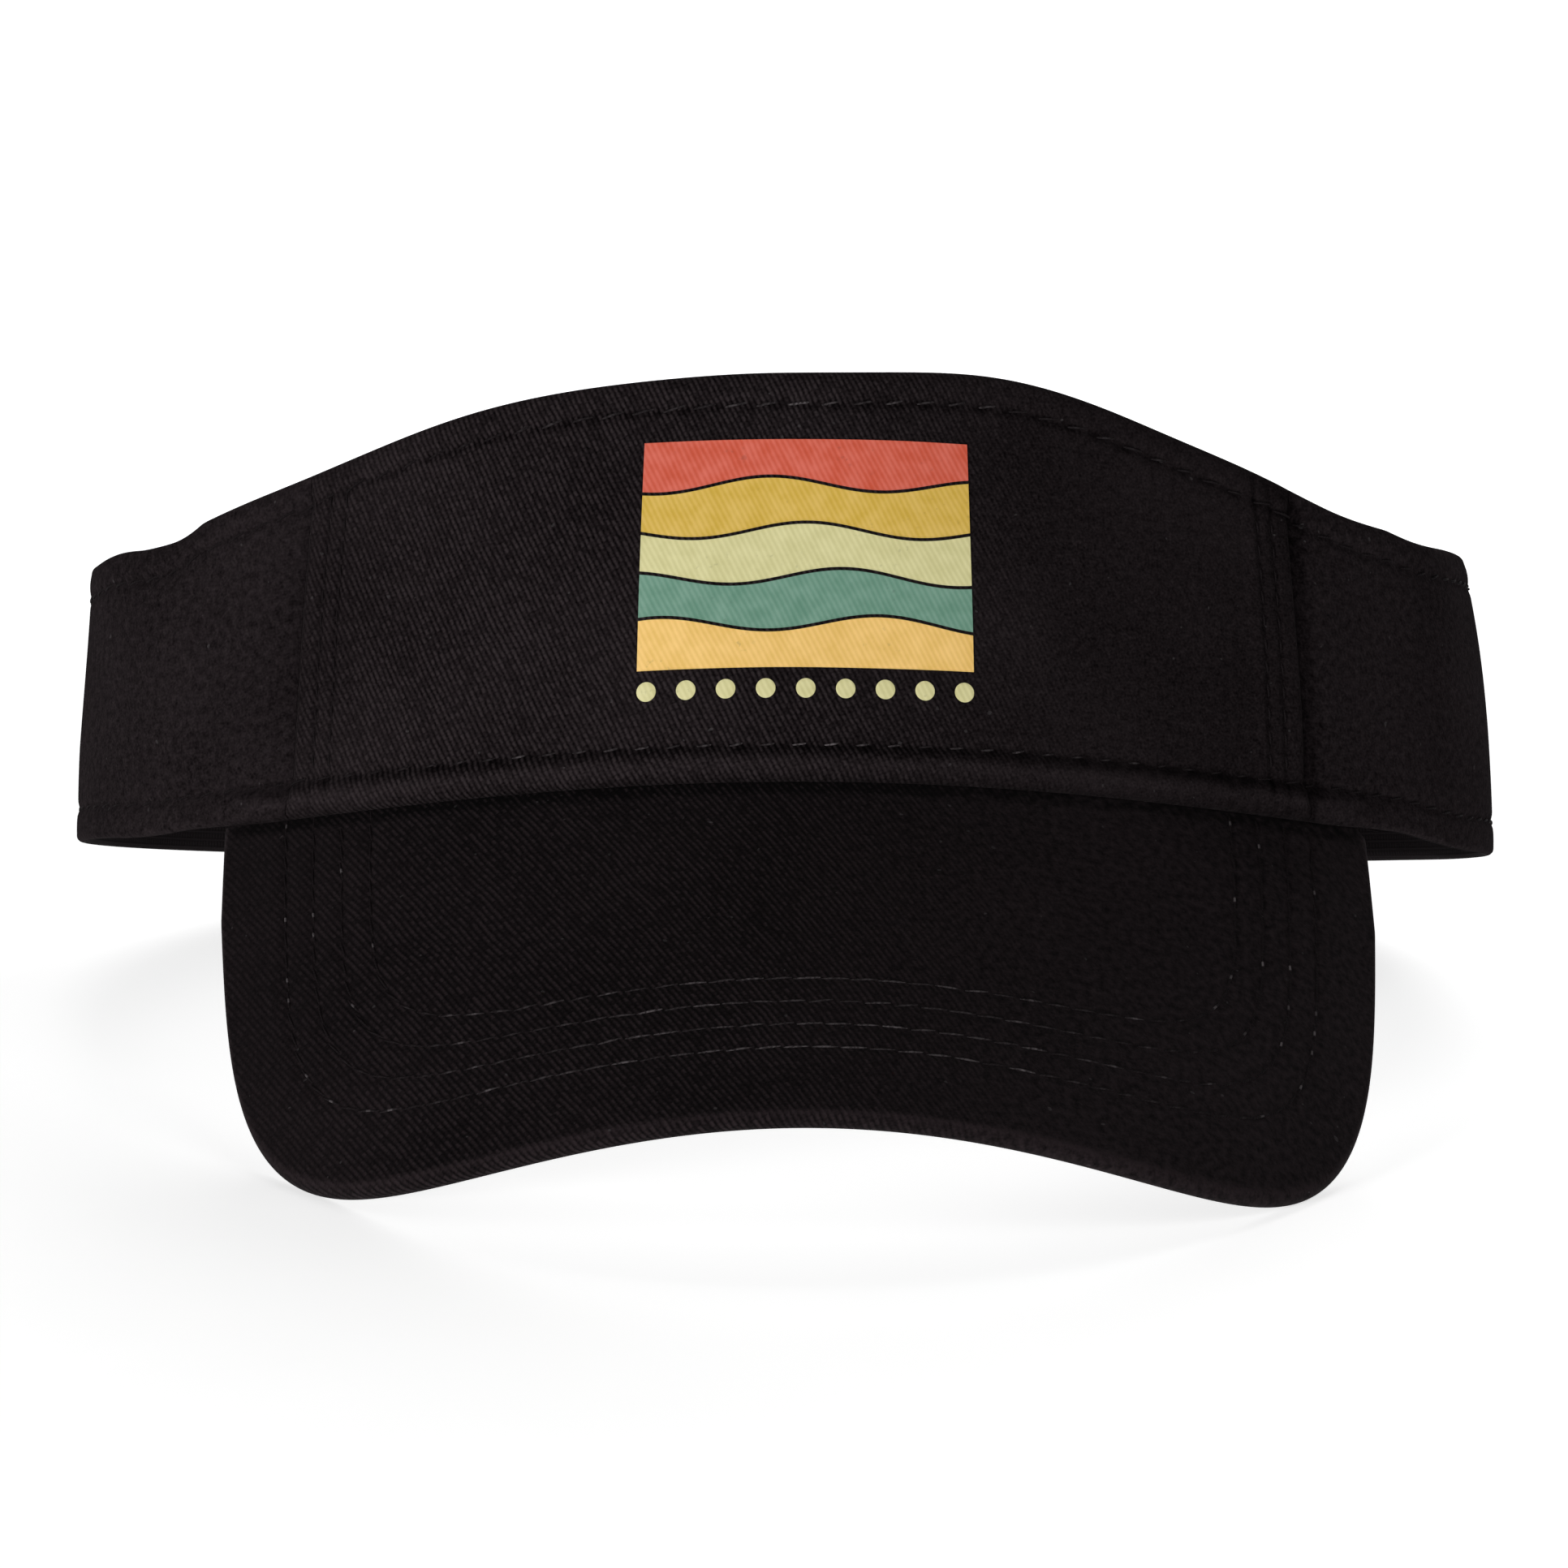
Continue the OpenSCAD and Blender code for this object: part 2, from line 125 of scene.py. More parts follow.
def band_h(a):
    """Height of the band, up the cloth. Its sewn upper edge isn't quite the same on both sides."""
    turn = np.abs(a)
    crest = fade((turn / crest_angle) ** crest_power)
    fall = 1 - fade((turn - fall_start) / (fall_end - fall_start))
    uneven = sum(high * dent(a - angle, width) for high, angle, width in edge_waves)
    for high, way, start, span in edge_steps:
        uneven = uneven + high * (1 - fade((way * a - start) / span)) * fade((way * a - 95) / 35)
    return side_h + (front_h - side_h) * crest - (side_h - back_h) * fall + uneven - raised(a)


def ripple(a, h):
    """The slight waves of the cloth, which die out at the lower edge and towards the closure."""
    s = ring_length(a)
    waves = (0.20 * np.sin(s / 12.7 + 0.8) * np.cos(h / 15 + 0.4) + 0.15 * np.sin(s / 7.1 + h / 10.3 + 2.1)
             + 0.08 * np.sin(s / 4.3 - h / 8.1 + 4.0))
    return waves * np.clip(h / 14, 0, 1) * fade((np.abs(a) - 90) / 40)


def band(a, h, out):
    """Points on the band, in ring millimetres: an angle, a height up the cloth and a distance out from it."""
    a, h, out = np.broadcast_arrays(a, h, out)
    turn = np.abs(a)
    uneven = 2.4 * np.sign(a) * fade(np.abs(turn - 80) / 45)
    lean = np.radians(side_lean + (front_lean - side_lean) * fade(turn / crest_angle) + uneven)
    share = h / band_h(a)
    puffed = swell * fade(turn / swell_end) + 1.3 * fade(np.abs(a - 85) / 45)
    out = out + 4 * puffed * share * (1 - share) + ripple(a, h)
    on_side = (turn > arc_turn) & (turn < 180 - arc_turn)
    r = np.where(on_side, side_r, arc_r) + out * np.cos(lean) - h * np.sin(lean)
    x = np.where(on_side, np.sign(a) * (half_w - side_r), 0) + r * np.sin(np.radians(a))
    y = np.where(on_side, 0, np.where(turn < 90, arc_r - half_d, half_d - arc_r)) - r * np.cos(np.radians(a))
    z = front_rise * fade(turn / rise_angle) + raised(a) + h * np.cos(lean) + out * np.sin(lean)
    return np.stack([x, y, z], -1)


def placed(data):
    """Puts a mesh, a light or a camera in the scene, as an object of the same name."""
    thing = bpy.data.objects.new(data.name, data)
    bpy.context.scene.collection.objects.link(thing)
    return thing


def show(mesh, node, slot, body="visor"):
    """Puts a finished mesh on its body, and in place of its solid if it has one."""
    piece = placed(mesh)
    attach(piece, body)
    if node:
        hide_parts(node)
    return piece


def mark(mesh, name, values, kind="FLOAT", field="value"):
    """Gives each point of a mesh a value that its material or its tree can read by name."""
    mesh.attributes.new(name, kind, "POINT")
    mesh.attributes[name].data.foreach_set(field, np.asarray(values, dtype=np.float32).ravel())


def grid(*values):
    """Spreads values over one grid and stacks them into points."""
    return np.stack(np.broadcast_arrays(*values), -1)


def ply(name, face, back, cloth, material, wear_and_painted_light=0):
    """A closed ply between two equal grids of ring points, with its flat cloth map in millimetres."""
    n, m = face.shape[:2]
    front = np.arange(n * m).reshape(n, m)
    rear = front + n * m

    def quads(p, q, r, s):
        return np.stack([p, q, r, s], -1).reshape(-1, 4)

    faces = np.concatenate([
        quads(front[:-1, :-1], front[1:, :-1], front[1:, 1:], front[:-1, 1:]),
        quads(rear[:-1, :-1], rear[:-1, 1:], rear[1:, 1:], rear[1:, :-1]),
        quads(front[:-1, 0], rear[:-1, 0], rear[1:, 0], front[1:, 0]),
        quads(front[:-1, -1], front[1:, -1], rear[1:, -1], rear[:-1, -1]),
        quads(front[0, :-1], front[0, 1:], rear[0, 1:], rear[0, :-1]),
        quads(front[-1, :-1], rear[-1, :-1], rear[-1, 1:], front[-1, 1:])])
    points = on_table(np.concatenate([face.reshape(-1, 3), back.reshape(-1, 3)]))
    mesh = bpy.data.meshes.new(name)
    mesh.from_pydata(points.tolist(), [], faces.tolist())
    corners = np.empty(len(mesh.loops), dtype=np.int32)
    mesh.loops.foreach_get("vertex_index", corners)
    flat = np.tile(np.broadcast_to(cloth, (n, m, 2)).reshape(-1, 2), (2, 1))
    mesh.uv_layers.new(name="cloth")
    mesh.uv_layers["cloth"].data.foreach_set("uv", flat[corners].astype(np.float32).ravel())
    mark(mesh, "wear_and_painted_light", np.tile(np.broadcast_to(wear_and_painted_light, (n, m)).ravel(), 2))
    mesh.shade_smooth()
    mesh.set_sharp_from_angle(angle=sharp_angle)
    mesh.materials.append(material)
    return mesh


class Tone:
    """A value in a tree of nodes. Arithmetic on it adds Math nodes, and node() adds any other node."""

    def __init__(self, tree, socket=None):
        self.tree = tree
        self.socket = socket

    def node(self, kind, sockets=None, out=0, **settings):
        made = self.tree.nodes.new(kind)
        for name, value in settings.items():
            setattr(made, name, value)
        for name, value in (sockets or {}).items():
            if isinstance(value, Tone):
                self.tree.links.new(value.socket, made.inputs[name])
            else:
                made.inputs[name].default_value = value
        return Tone(self.tree, made.outputs[out] if len(made.outputs) else None)

    def __getitem__(self, name):
        """Another output of the same node."""
        return Tone(self.tree, self.socket.node.outputs[name])

    def math(self, operation, *values):
        return self.node("ShaderNodeMath", dict(enumerate(values)), operation=operation)

    def __add__(self, value):
        return self.math("ADD", self, value)

    def __sub__(self, value):
        return self.math("SUBTRACT", self, value)

    def __rsub__(self, value):
        return self.math("SUBTRACT", value, self)

    def __mul__(self, value):
        return self.math("MULTIPLY", self, value)

    def __truediv__(self, value):
        return self.math("DIVIDE", self, value)

    def __pow__(self, value):
        return self.math("POWER", self, value)

    __radd__ = __add__
    __rmul__ = __mul__

    def whole(self):
        return self.math("FLOOR", self)

    def size(self):
        return self.math("ABSOLUTE", self)

    def wave(self):
        """A smooth wave between 0 and 1, one for each whole number."""
        return self.math("COSINE", self * (2 * math.pi)) * 0.5 + 0.5

    def limited(self, low, high):
        """Goes from 0 to 1 as the value goes from low to high, and stays there."""
        return self.node("ShaderNodeMapRange", {"Value": self, "From Min": low, "From Max": high},
                         interpolation_type="SMOOTHSTEP")

    def mixed(self, first, second):
        """A colour between two others."""
        ends = [c if isinstance(c, Tone) else (*c, 1) for c in (first, second)]
        return self.node("ShaderNodeMix", {0: self, 6: ends[0], 7: ends[1]}, 2, data_type="RGBA")

    def point(self, **parts):
        return self.node("ShaderNodeCombineXYZ", parts)

    def split(self):
        return self.node("ShaderNodeSeparateXYZ", {"Vector": self})

    def place(self):
        """The place on the object, in metres."""
        return self.node("ShaderNodeTexCoord", out=3)

    def cloth(self):
        """The flat cloth map in millimetres: as a place, along the cloth and up it."""
        place = self.node("ShaderNodeUVMap", uv_map="cloth")
        flat = place.split()
        return place, flat, flat["Y"]

    def attribute(self, name):
        return self.node("ShaderNodeAttribute", out=2, attribute_name=name)

    def noise(self, place, scale, detail=2.0):
        return self.node("ShaderNodeTexNoise", {"Vector": place, "Scale": scale, "Detail": detail})

    def chance(self, row, column):
        """A random value between 0 and 1 for each pair of whole numbers."""
        return self.node("ShaderNodeTexWhiteNoise", {"Vector": self.point(X=row, Y=column)},
                         noise_dimensions="2D")

    def bumped(self, distance, strength=1.0):
        return self.node("ShaderNodeBump", {"Height": self, "Distance": distance, "Strength": strength})


def finish(name, roughness, specular, sheen=0.0, sheen_tint=(1, 1, 1)):
    """A new material with its even values set, its tree and its shader."""
    material = bpy.data.materials.new(name)
    material.use_nodes = True
    shader = material.node_tree.nodes["Principled BSDF"]
    shader.inputs["Roughness"].default_value = roughness
    shader.inputs["Specular IOR Level"].default_value = specular
    shader.inputs["Sheen Weight"].default_value = sheen
    shader.inputs["Sheen Roughness"].default_value = 0.5
    shader.inputs["Sheen Tint"].default_value = (*sheen_tint, 1)
    return material, Tone(material.node_tree), shader


def feed(shader, **tones):
    """Links tones to a shader's sockets."""
    for name, tone in tones.items():
        tone.tree.links.new(tone.socket, shader.inputs[name.replace("_", " ")])


def plain_weave(name, dark, light, pitch, depth):
    """A cloth of single threads, over and under each other."""
    material, paint, shader = finish(name, 0.9, 0.02)
    cloth, u, v = paint.cloth()
    across = u / pitch
    up = v / pitch
    threads = across.wave() * (up * 0.5).wave() + up.wave() * (1 - (up * 0.5).wave())
    fibre = paint.noise(cloth, 1.7, 4)
    patches = paint.noise(cloth, 0.05)
    height = threads * 0.7 + fibre * 0.5
    feed(shader, Base_Color=(height * 0.6 + patches * 0.35).mixed(dark, light),
         Normal=height.bumped(depth * mm, 0.7))
    return material


lining_inset = 1.2
buckram_out = -0.95
buckram_t = 0.55
buckram_share = 0.985
buckram = plain_weave("buckram", (0.42, 0.41, 0.38), (0.72, 0.71, 0.67), pitch=0.9, depth=0.2)
inner_a = np.linspace(-seam_angle, seam_angle, 100)[:, None] * buckram_share
inner_h = lining_inset + (band_h(inner_a) - 2 * lining_inset) * np.linspace(0, 1, 40)
interlining = show(ply("front_interlining_sheet", band(inner_a, inner_h, buckram_out),
                       band(inner_a, inner_h, buckram_out - buckram_t),
                       grid(ring_length(inner_a), inner_h), buckram), "front_interlining", "interlining")


# Front panel
# The outer cloth of the front: black brushed cotton twill, hemmed along its top and rolled over the bill at
# the bottom. Its side seams are folded towards the middle and sewn down flat with two rows of stitches.
stitch_pitch = 4.5
top_row = 4.7
low_row = 4.8
fell_rows = (4.2, 7.0)
roll_puff = 0.85
roll_end = 38.0
hem_drop = 0.45
twill_t = 0.65
lining_t = 0.5
twill_slant = math.radians(62)
twill_pitch = 0.78
twill_black = (0.0007, 0.0004, 0.0005)
left_nap = (-52, -86)
seam_s = ring_length(seam_angle)
seam_slack = 0.07
seam_zone = np.arange(0, 10, 0.35)
rise_span = 27.0
rise_end = 178 - arc_turn
panel_rise = 5.40
lining_gap = 1.95
left_past = 13.0
right_short = 47.0
left_end = -180 - math.degrees(left_past / arc_r)
right_end = 180 - math.degrees(right_short / arc_r)


def arm_rise(a):
    """How far the right arm has opened, from 0 to 1, to take in the strap."""
    return 1 - fade((a - rise_end + rise_span) / rise_span)


def band_t(a):
    """Thickness of all the band's plies together, without the sweatband."""
    return 1.55 + 0.75 * fade((np.abs(a) - seam_angle) / 9) + lining_gap * arm_rise(a)


def pulled(s, pitch):
    """Goes from 1 to 0 and back in each stitch along a row, with 1 at the needle holes."""
    return 0.5 + 0.5 * np.cos(2 * np.pi * s / pitch)


def outer_face(a, h):
    """How far the sewn outer cloth stands out: the arm's opening, hems, seams and stitch rows."""
    s = ring_length(a)
    from_top = band_h(a) - h
    puff = roll_puff * fade((np.abs(a) - roll_end) / 9) + 0.15
    bulge = np.sin(np.pi * np.clip((h + 1.0) / (low_row + 1.0), 0, 1)) ** 0.7
    pull = pulled(s, stitch_pitch)
    hems = (puff * bulge - (0.26 + 0.16 * pull) * dent(h - low_row, 0.7)
            + 0.22 * dent(from_top - 2.4, 1.5) - (0.22 + 0.14 * pull) * dent(from_top - top_row, 0.7))
    inside = seam_s - np.abs(s)
    fell = 0.42 * np.clip(inside / 1.2, 0, 1) * fade((inside - 7.6) / 2.5)
    fell = fell - sum(0.3 * dent(inside - row, 0.5) for row in fell_rows)
    joined = np.where(inside > 0, fell - 0.8 * dent(inside, 0.9), -0.9 * dent(inside, 3.2))
    joined = joined * np.clip(from_top / 4, 0, 1) * np.clip(h / 3, 0, 1)
    ends = -0.35 * dent(s - ring_length(left_end), 0.9) - 0.35 * dent(s - ring_length(right_end), 0.9)
    return panel_rise * arm_rise(a) + hems + joined + ends


def band_rows(a, middle):
    """Heights on a ply from its lower edge to its upper one, and how far each has turned over the edge."""
    half_t = band_t(a) / 2
    turned = np.radians(np.linspace(0, 86, 7))
    near = np.arange(0.5, 7.6, 0.5)
    low = half_t + near
    high = band_h(a) - half_t - near[::-1]
    between = low[:, -1:] + (high[:, :1] - low[:, -1:]) * np.linspace(0, 1, middle + 2)[1:-1]
    h = np.concatenate([half_t * (1 - np.sin(turned[::-1])), low, between, high,
                        band_h(a) - half_t * (1 - np.sin(turned))], 1)
    flat = np.zeros(2 * len(near) + middle)
    turn = np.concatenate([-turned[::-1], flat, turned])
    return h, turn


def band_cloth(name, lengths, middle, material, lining=False):
    """A ply of the band whose edges turn in to meet the ply behind it."""
    s = lengths[:, None]
    a = ring_angle(s)
    h, turn = band_rows(a, middle)
    if not lining:
        h = h - hem_drop * fade((np.abs(a) - roll_end) / 8) * np.clip(1 - h / 5, 0, 1)
    half_t = band_t(a) / 2
    tucked = half_t * (1 - np.cos(turn))
    opened = panel_rise * arm_rise(a)
    cloth = grid(s, h + half_t * (turn - np.sin(turn)))
    # Painted light and shade on the rolled hem over the bill: lighter low on the roll, darker just under the
    # stitch row. The paler turned-over top edge is wear.
    rolled = 0.6 * dent(h - 1.9, 1.0) - 0.4 * dent(h - 3.6, 0.7)
    wear_and_painted_light = 0.5 * np.clip(turn * 1.4, 0, 1) + rolled * fade((np.abs(a) - 36) / 8)
    if lining:
        visible = opened - band_t(a) + tucked
        face = band(a, h - lining_t * np.sin(turn), visible + lining_t * np.cos(turn))
        return ply(name, face, band(a, h, visible), cloth, material, wear_and_painted_light)
    visible = outer_face(a, h)
    face = band(a, h, visible - tucked)
    back = band(a, h - twill_t * np.sin(turn), visible * 0.6 + opened * 0.4 - tucked - twill_t * np.cos(turn))
    # Painted shadow: darker in the grooves of both hem rows, darkest at the needle holes and strongest across
    # the front, and along the side seams and their stitch rows, with a broad painted shadow on the right side
    # panel beside its seam.
    sewn = dent(h - low_row + 0.3, 0.6) + dent(band_h(a) - h - top_row - 0.3, 0.6)
    inside = seam_s - np.abs(s)
    to_right = 0.5 + 0.5 * np.sign(a)
    seam = ((0.3 + 0.25 * to_right) * dent(inside, 0.8)
            + 0.35 * sum(dent(inside - row, 0.5) for row in fell_rows)
            + 0.35 * to_right * (inside < 0) * dent(inside, 4))
    seen = 0.22 + 0.78 * fade((np.abs(a) - 28) / 14)
    wear_and_painted_light = wear_and_painted_light - seen * (0.25 + 0.7 * pulled(s, stitch_pitch)) * sewn
    wear_and_painted_light = wear_and_painted_light - seam * np.clip((band_h(a) - h) / 3, 0, 1)
    return ply(name, face, back, cloth, material, wear_and_painted_light)


def twill(name, slant, pitch, dark, light, contrast, vary, smooth, painted_side_shade, mottle, gloss=0.0):
    """Black brushed twill: slanting ribs of short uneven floats, with loose fibres and paler edges where it
    wears.
    Each point also carries painted highlights and painted shadows, and towards the right the colour gets an
    even painted shade, or painted light where that amount is negative. The nap lies smoother towards the
    right and on the far left, where the ribs show less."""
    material, paint, shader = finish(name, 0.92, gloss, 0.01, (0.9, 0.85, 0.87))
    cloth, u, v = paint.cloth()
    sway = paint.noise(cloth, 0.09, 1) * 0.9 + paint.noise(cloth, 0.8, 1) * 0.25
    across = (u * math.sin(slant) + v * math.cos(slant)) / pitch + sway
    rib = (across + 0.5).whole()
    along = (u * math.cos(slant) - v * math.sin(slant)) / 0.9 + paint.chance(rib, 0.0) * 5
    piece = along.whole()
    floats = 1 - (along - piece - 0.5).size().limited(0.26, 0.5) * 0.35
    yarn = paint.chance(rib, piece)
    fibre = paint.noise(cloth, 2.6, 4)
    patches = paint.noise(cloth, 0.035, 3)
    nap = paint.noise(cloth, 0.85, 3)
    brushed = u.limited(*smooth)
    ribbed = 1 - u.math("MAXIMUM", brushed * 0.93, u.limited(*left_nap) * 0.55)
    height = across.wave() ** 0.8 * floats * (yarn * vary + 0.85 - vary / 2) * ribbed
    shade = (height - 0.36 * ribbed) * contrast + (fibre - 0.5) * 0.85
    shade = shade + (patches - 0.5) * 0.4 + (nap - 0.5) * (0.25 + brushed * mottle)
    # The per-point value read here makes edges paler with wear and also carries painted highlights and
    # painted shadows set on each cloth piece.
    # Towards the right the colour gets an even painted shade, or painted light where that amount is negative.
    shade = shade + paint.attribute("wear_and_painted_light") * (fibre + 0.2) * 0.35 + 0.42 - brushed * painted_side_shade
    black = shade.limited(-0.15, 1.25).mixed(dark, light)
    lint = paint.noise(cloth, 0.62, 1).limited(0.755, 0.785)
    feed(shader, Base_Color=(lint * fibre * 0.4).mixed(black, (0.10, 0.094, 0.096)),
         Normal=(height + fibre * 0.5).bumped(0.14 * mm, 0.8))
    return material


# The crown's right part gets a little painted shade.
crown_twill = twill("crown_twill", twill_slant, twill_pitch, twill_black, (0.0298, 0.0234, 0.0250),
                    contrast=0.64, vary=0.8, smooth=(-8, 50), painted_side_shade=0.07, mottle=0.25)
front_middle = np.linspace(-seam_s + 10, seam_s - 10, 150)
front_lengths = np.concatenate([seam_zone - seam_s + seam_slack, front_middle,
                                (seam_s - seam_slack - seam_zone)[::-1]])
front_panel = show(band_cloth("front_panel_cloth", front_lengths, 40, crown_twill), "front_panel", "twill")


# Side panels
# One strip of the same twill for each side, from the seam with the front round to the back. The right one
# stands out at its end to take in the strap, and the left one goes on under the strap.
def side_lengths(end):
    """Lengths round the ring from a side seam to the end of an arm, closer together at the seam."""
    arm = abs(ring_length(end))
    rest = np.linspace(seam_s + 10, arm - 4, int((arm - seam_s - 14) / 1.1))
    tip = np.arange(arm - 3.6, arm + 0.01, 0.4)
    return np.sign(end) * np.concatenate([seam_s + seam_slack + seam_zone, rest, tip])


side_twill = twill("side_twill", twill_slant, twill_pitch, twill_black, (0.0303, 0.0238, 0.0256),
                   contrast=0.95, vary=0.7, smooth=(-900, -800), painted_side_shade=0.0, mottle=0.55)
left_lengths = side_lengths(left_end)[::-1]
right_lengths = side_lengths(right_end)
for name, node, lengths, flat, area in (
        ("left_side_cloth", "left_side_panel", left_lengths, (0.232, 0.056), 0.0088),
        ("right_side_cloth", "right_side_panel", right_lengths, (0.172, 0.056), 0.0070)):
    panel = show(band_cloth(name, lengths, 16, side_twill), node, "twill")


# Linings
# Thin plain black cotton inside the band, cut like the outer panels. The two are sewn together along their
# edges and turned, so that they meet in a fine line along the top.
lining_cloth = plain_weave("lining_cloth", (0.0030, 0.0024, 0.0026), (0.0172, 0.0140, 0.0150), pitch=0.62,
                           depth=0.12)
for name, node, lengths, middle, flat, area in (
        ("front_lining_cloth", "front_lining", front_lengths[::2], 14, (0.160, 0.064), 0.0089),
        ("left_lining_cloth", "left_side_lining", left_lengths[::2], 8, (0.232, 0.056), 0.0088),
        ("right_lining_cloth", "right_side_lining", right_lengths[::2], 8, (0.172, 0.056), 0.0070)):
    lining = show(band_cloth(name, lengths, middle, lining_cloth, True), node, "lining")


# Seam tapes
# Narrow woven tapes over the two side seams on the inside, sewn down along both edges. They cover the raw
# edges of the panels and linings.
tape_w = 11.0
tape_row = 1.4
tape_out = -2.42
chevron_w = 2.75
seam_tape_weave, paint, shader = finish("seam_tape_weave", 0.8, 0.25, 0.05)
cloth, u, v = paint.cloth()
chevron = (u.math("PINGPONG", u, chevron_w) + v) / 0.7
weave = chevron.wave() * 0.7 + paint.noise(cloth, 3, 3) * 0.5
feed(shader, Base_Color=weave.mixed((0.004, 0.0035, 0.0037), (0.017, 0.015, 0.016)),
     Normal=weave.bumped(0.1 * mm, 0.7))
for name, node, middle in (("left_seam_tape_strip", "left_seam_tape", -seam_s),
                           ("right_seam_tape_strip", "right_seam_tape", seam_s)):
    across = np.linspace(-tape_w / 2, tape_w / 2, 23)[:, None]
    a = ring_angle(middle + across)
    h = lining_inset + (band_h(a) - 2 * lining_inset) * np.linspace(0, 1, 48)
    from_edge = tape_w / 2 - np.abs(across)
    thick = 0.15 + 0.4 * np.clip(from_edge / 0.8, 0, 1) - 0.15 * dent(from_edge - tape_row, 0.5)
    show(ply(name, band(a, h, tape_out), band(a, h, tape_out - thick), grid(across + tape_w, h),
             seam_tape_weave), node, "seam_tape")


# Sweatband
# A soft strip of cotton terry, folded over a thin pad and sewn round the inside of the front along the
# lower edge. Its loops face the head.
sweat_w = 32.0
sweat_angle = 62.0
sweat_t = 2.2
sweat_gap = 0.70
sweat_row = 4.2
sweat_pitch = 3.6
sweat_sunk = 0.75
terry, paint, shader = finish("terry_loops", 0.95, 0.1, 0.05, (0.9, 0.87, 0.88))
place = paint.place()
yarn = paint.noise(place, 2200, 3)
patches = paint.noise(place, 60, 2)
# The pad is darkened where the loops grow: painted shade between them.
shade = (yarn * 0.7 + patches * 0.4).limited(0.2, 1.0) * (1 - paint.attribute("pile") * 0.6)
feed(shader, Base_Color=shade.mixed((0.004, 0.0034, 0.0036), (0.030, 0.0256, 0.0272)),
     Normal=yarn.bumped(0.1 * mm, 0.6))
sweat_s = ring_length(sweat_angle)
sweat_lengths = np.concatenate([np.arange(-sweat_s, -sweat_s + 3, 0.5),
                                np.linspace(-sweat_s + 3, sweat_s - 3, 190),
                                np.arange(sweat_s - 2.5, sweat_s + 0.01, 0.5)])[:, None]
share = np.concatenate([np.linspace(0, 0.08, 6), np.linspace(0.1, 0.9, 34), np.linspace(0.92, 1, 6)])
a = ring_angle(sweat_lengths)
from_end = np.clip((sweat_s - np.abs(sweat_lengths)) / 2.5, 0, 1)
rounded = np.sqrt(1 - (1 - from_end) ** 2)
thick = sweat_t / 2 * np.sqrt(np.clip(1 - np.abs(2 * share - 1) ** 5, 0, 1)) * (0.25 + 0.75 * rounded) + 0.04
h = lining_inset + 0.6 + (sweat_w - 0.8) * share
groove = (0.65 + 0.2 * pulled(sweat_lengths, sweat_pitch)) * dent(h - lining_inset - sweat_row, 1.0)
soft = 0.16 * np.sin(sweat_lengths / 9.5 + 1.2) * np.sin(h / 7.0) + 0.10 * np.sin(sweat_lengths / 4.7 + h / 5)
middle = -band_t(a) - sweat_gap - sweat_t / 2
sweat_mesh = ply("sweatband_pad", band(a, h, middle + thick), band(a, h, middle - thick + groove + soft),
                 grid(sweat_lengths, h), terry)
inner = np.zeros(len(sweat_mesh.vertices))
inner[len(inner) // 2:] = np.tile((share > 0.03) & (share < 0.97), len(sweat_lengths))
mark(sweat_mesh, "pile", inner)


def node_tree(name, start, *values):
    """A new tree of geometry nodes. Gives back its inputs: a start shape, values, a seed and a material."""
    tree = bpy.data.node_groups.new(name, "GeometryNodeTree")
    kinds = {start: "Geometry", "Seed": "Int", "Material": "Material"}
    for socket in (start, *values):
        kind = "NodeSocket" + kinds.get(socket, "Float")
        tree.interface.new_socket(socket, in_out="INPUT", socket_type=kind)
    tree.interface.new_socket("Piece", in_out="OUTPUT", socket_type="NodeSocketGeometry")
    return Tone(tree).node("NodeGroupInput")


def join(given, *shapes):
    """All the shapes as one."""
    joined = given.node("GeometryNodeJoinGeometry")
    for shape in shapes:
        given.tree.links.new(shape.socket, joined.socket.node.inputs[0])
    return joined


def end_tree(made, material):
    """Closes a tree: its instances become one mesh, smooth and in one material."""
    real = made.node("GeometryNodeRealizeInstances", {"Geometry": made})
    smooth = made.node("GeometryNodeSetShadeSmooth", {"Geometry": real})
    dressed = made.node("GeometryNodeSetMaterial", {"Geometry": smooth, "Material": material})
    made.node("NodeGroupOutput", {"Piece": dressed})


def grown(name, start, given, values):
    """Runs a tree on a start mesh and keeps what it makes as one plain mesh."""
    holder = placed(start)
    modifier = holder.modifiers.new(name, "NODES")
    modifier.node_group = given.tree
    for item in given.tree.interface.items_tree:
        if item.in_out == "INPUT" and item.name in values:
            modifier[item.identifier] = values[item.name]
    graph = bpy.context.evaluated_depsgraph_get()
    mesh = bpy.data.meshes.new_from_object(holder.evaluated_get(graph), preserve_all_data_layers=True,
                                           depsgraph=graph)
    holder.modifiers.remove(modifier)
    bpy.data.objects.remove(holder)
    mesh.name = name
    return mesh


def bow(given, steps, start, middle, end):
    """A curve that sets out towards a middle point and comes down at its end."""
    return given.node("GeometryNodeCurveQuadraticBezier", {
        "Resolution": steps, "Start": start, "Middle": middle, "End": end})


def circle(given, sides, radius):
    return given.node("GeometryNodeCurvePrimitiveCircle", {"Resolution": sides, "Radius": radius})


def spun(given, path, ring, capped=False):
    """A thread along a path."""
    return given.node("GeometryNodeCurveToMesh", {"Curve": path, "Profile Curve": ring, "Fill Caps": capped})


def yarn_loop(given, width, height, radius, sides):
    """One loop of yarn: a bow of thread with both feet in the cloth."""
    path = bow(given, 4, given.point(X=width * -0.5, Z=height * -0.15), given.point(Z=height * 2),
               given.point(X=width * 0.5, Z=height * -0.15))
    return spun(given, path, circle(given, sides, radius))


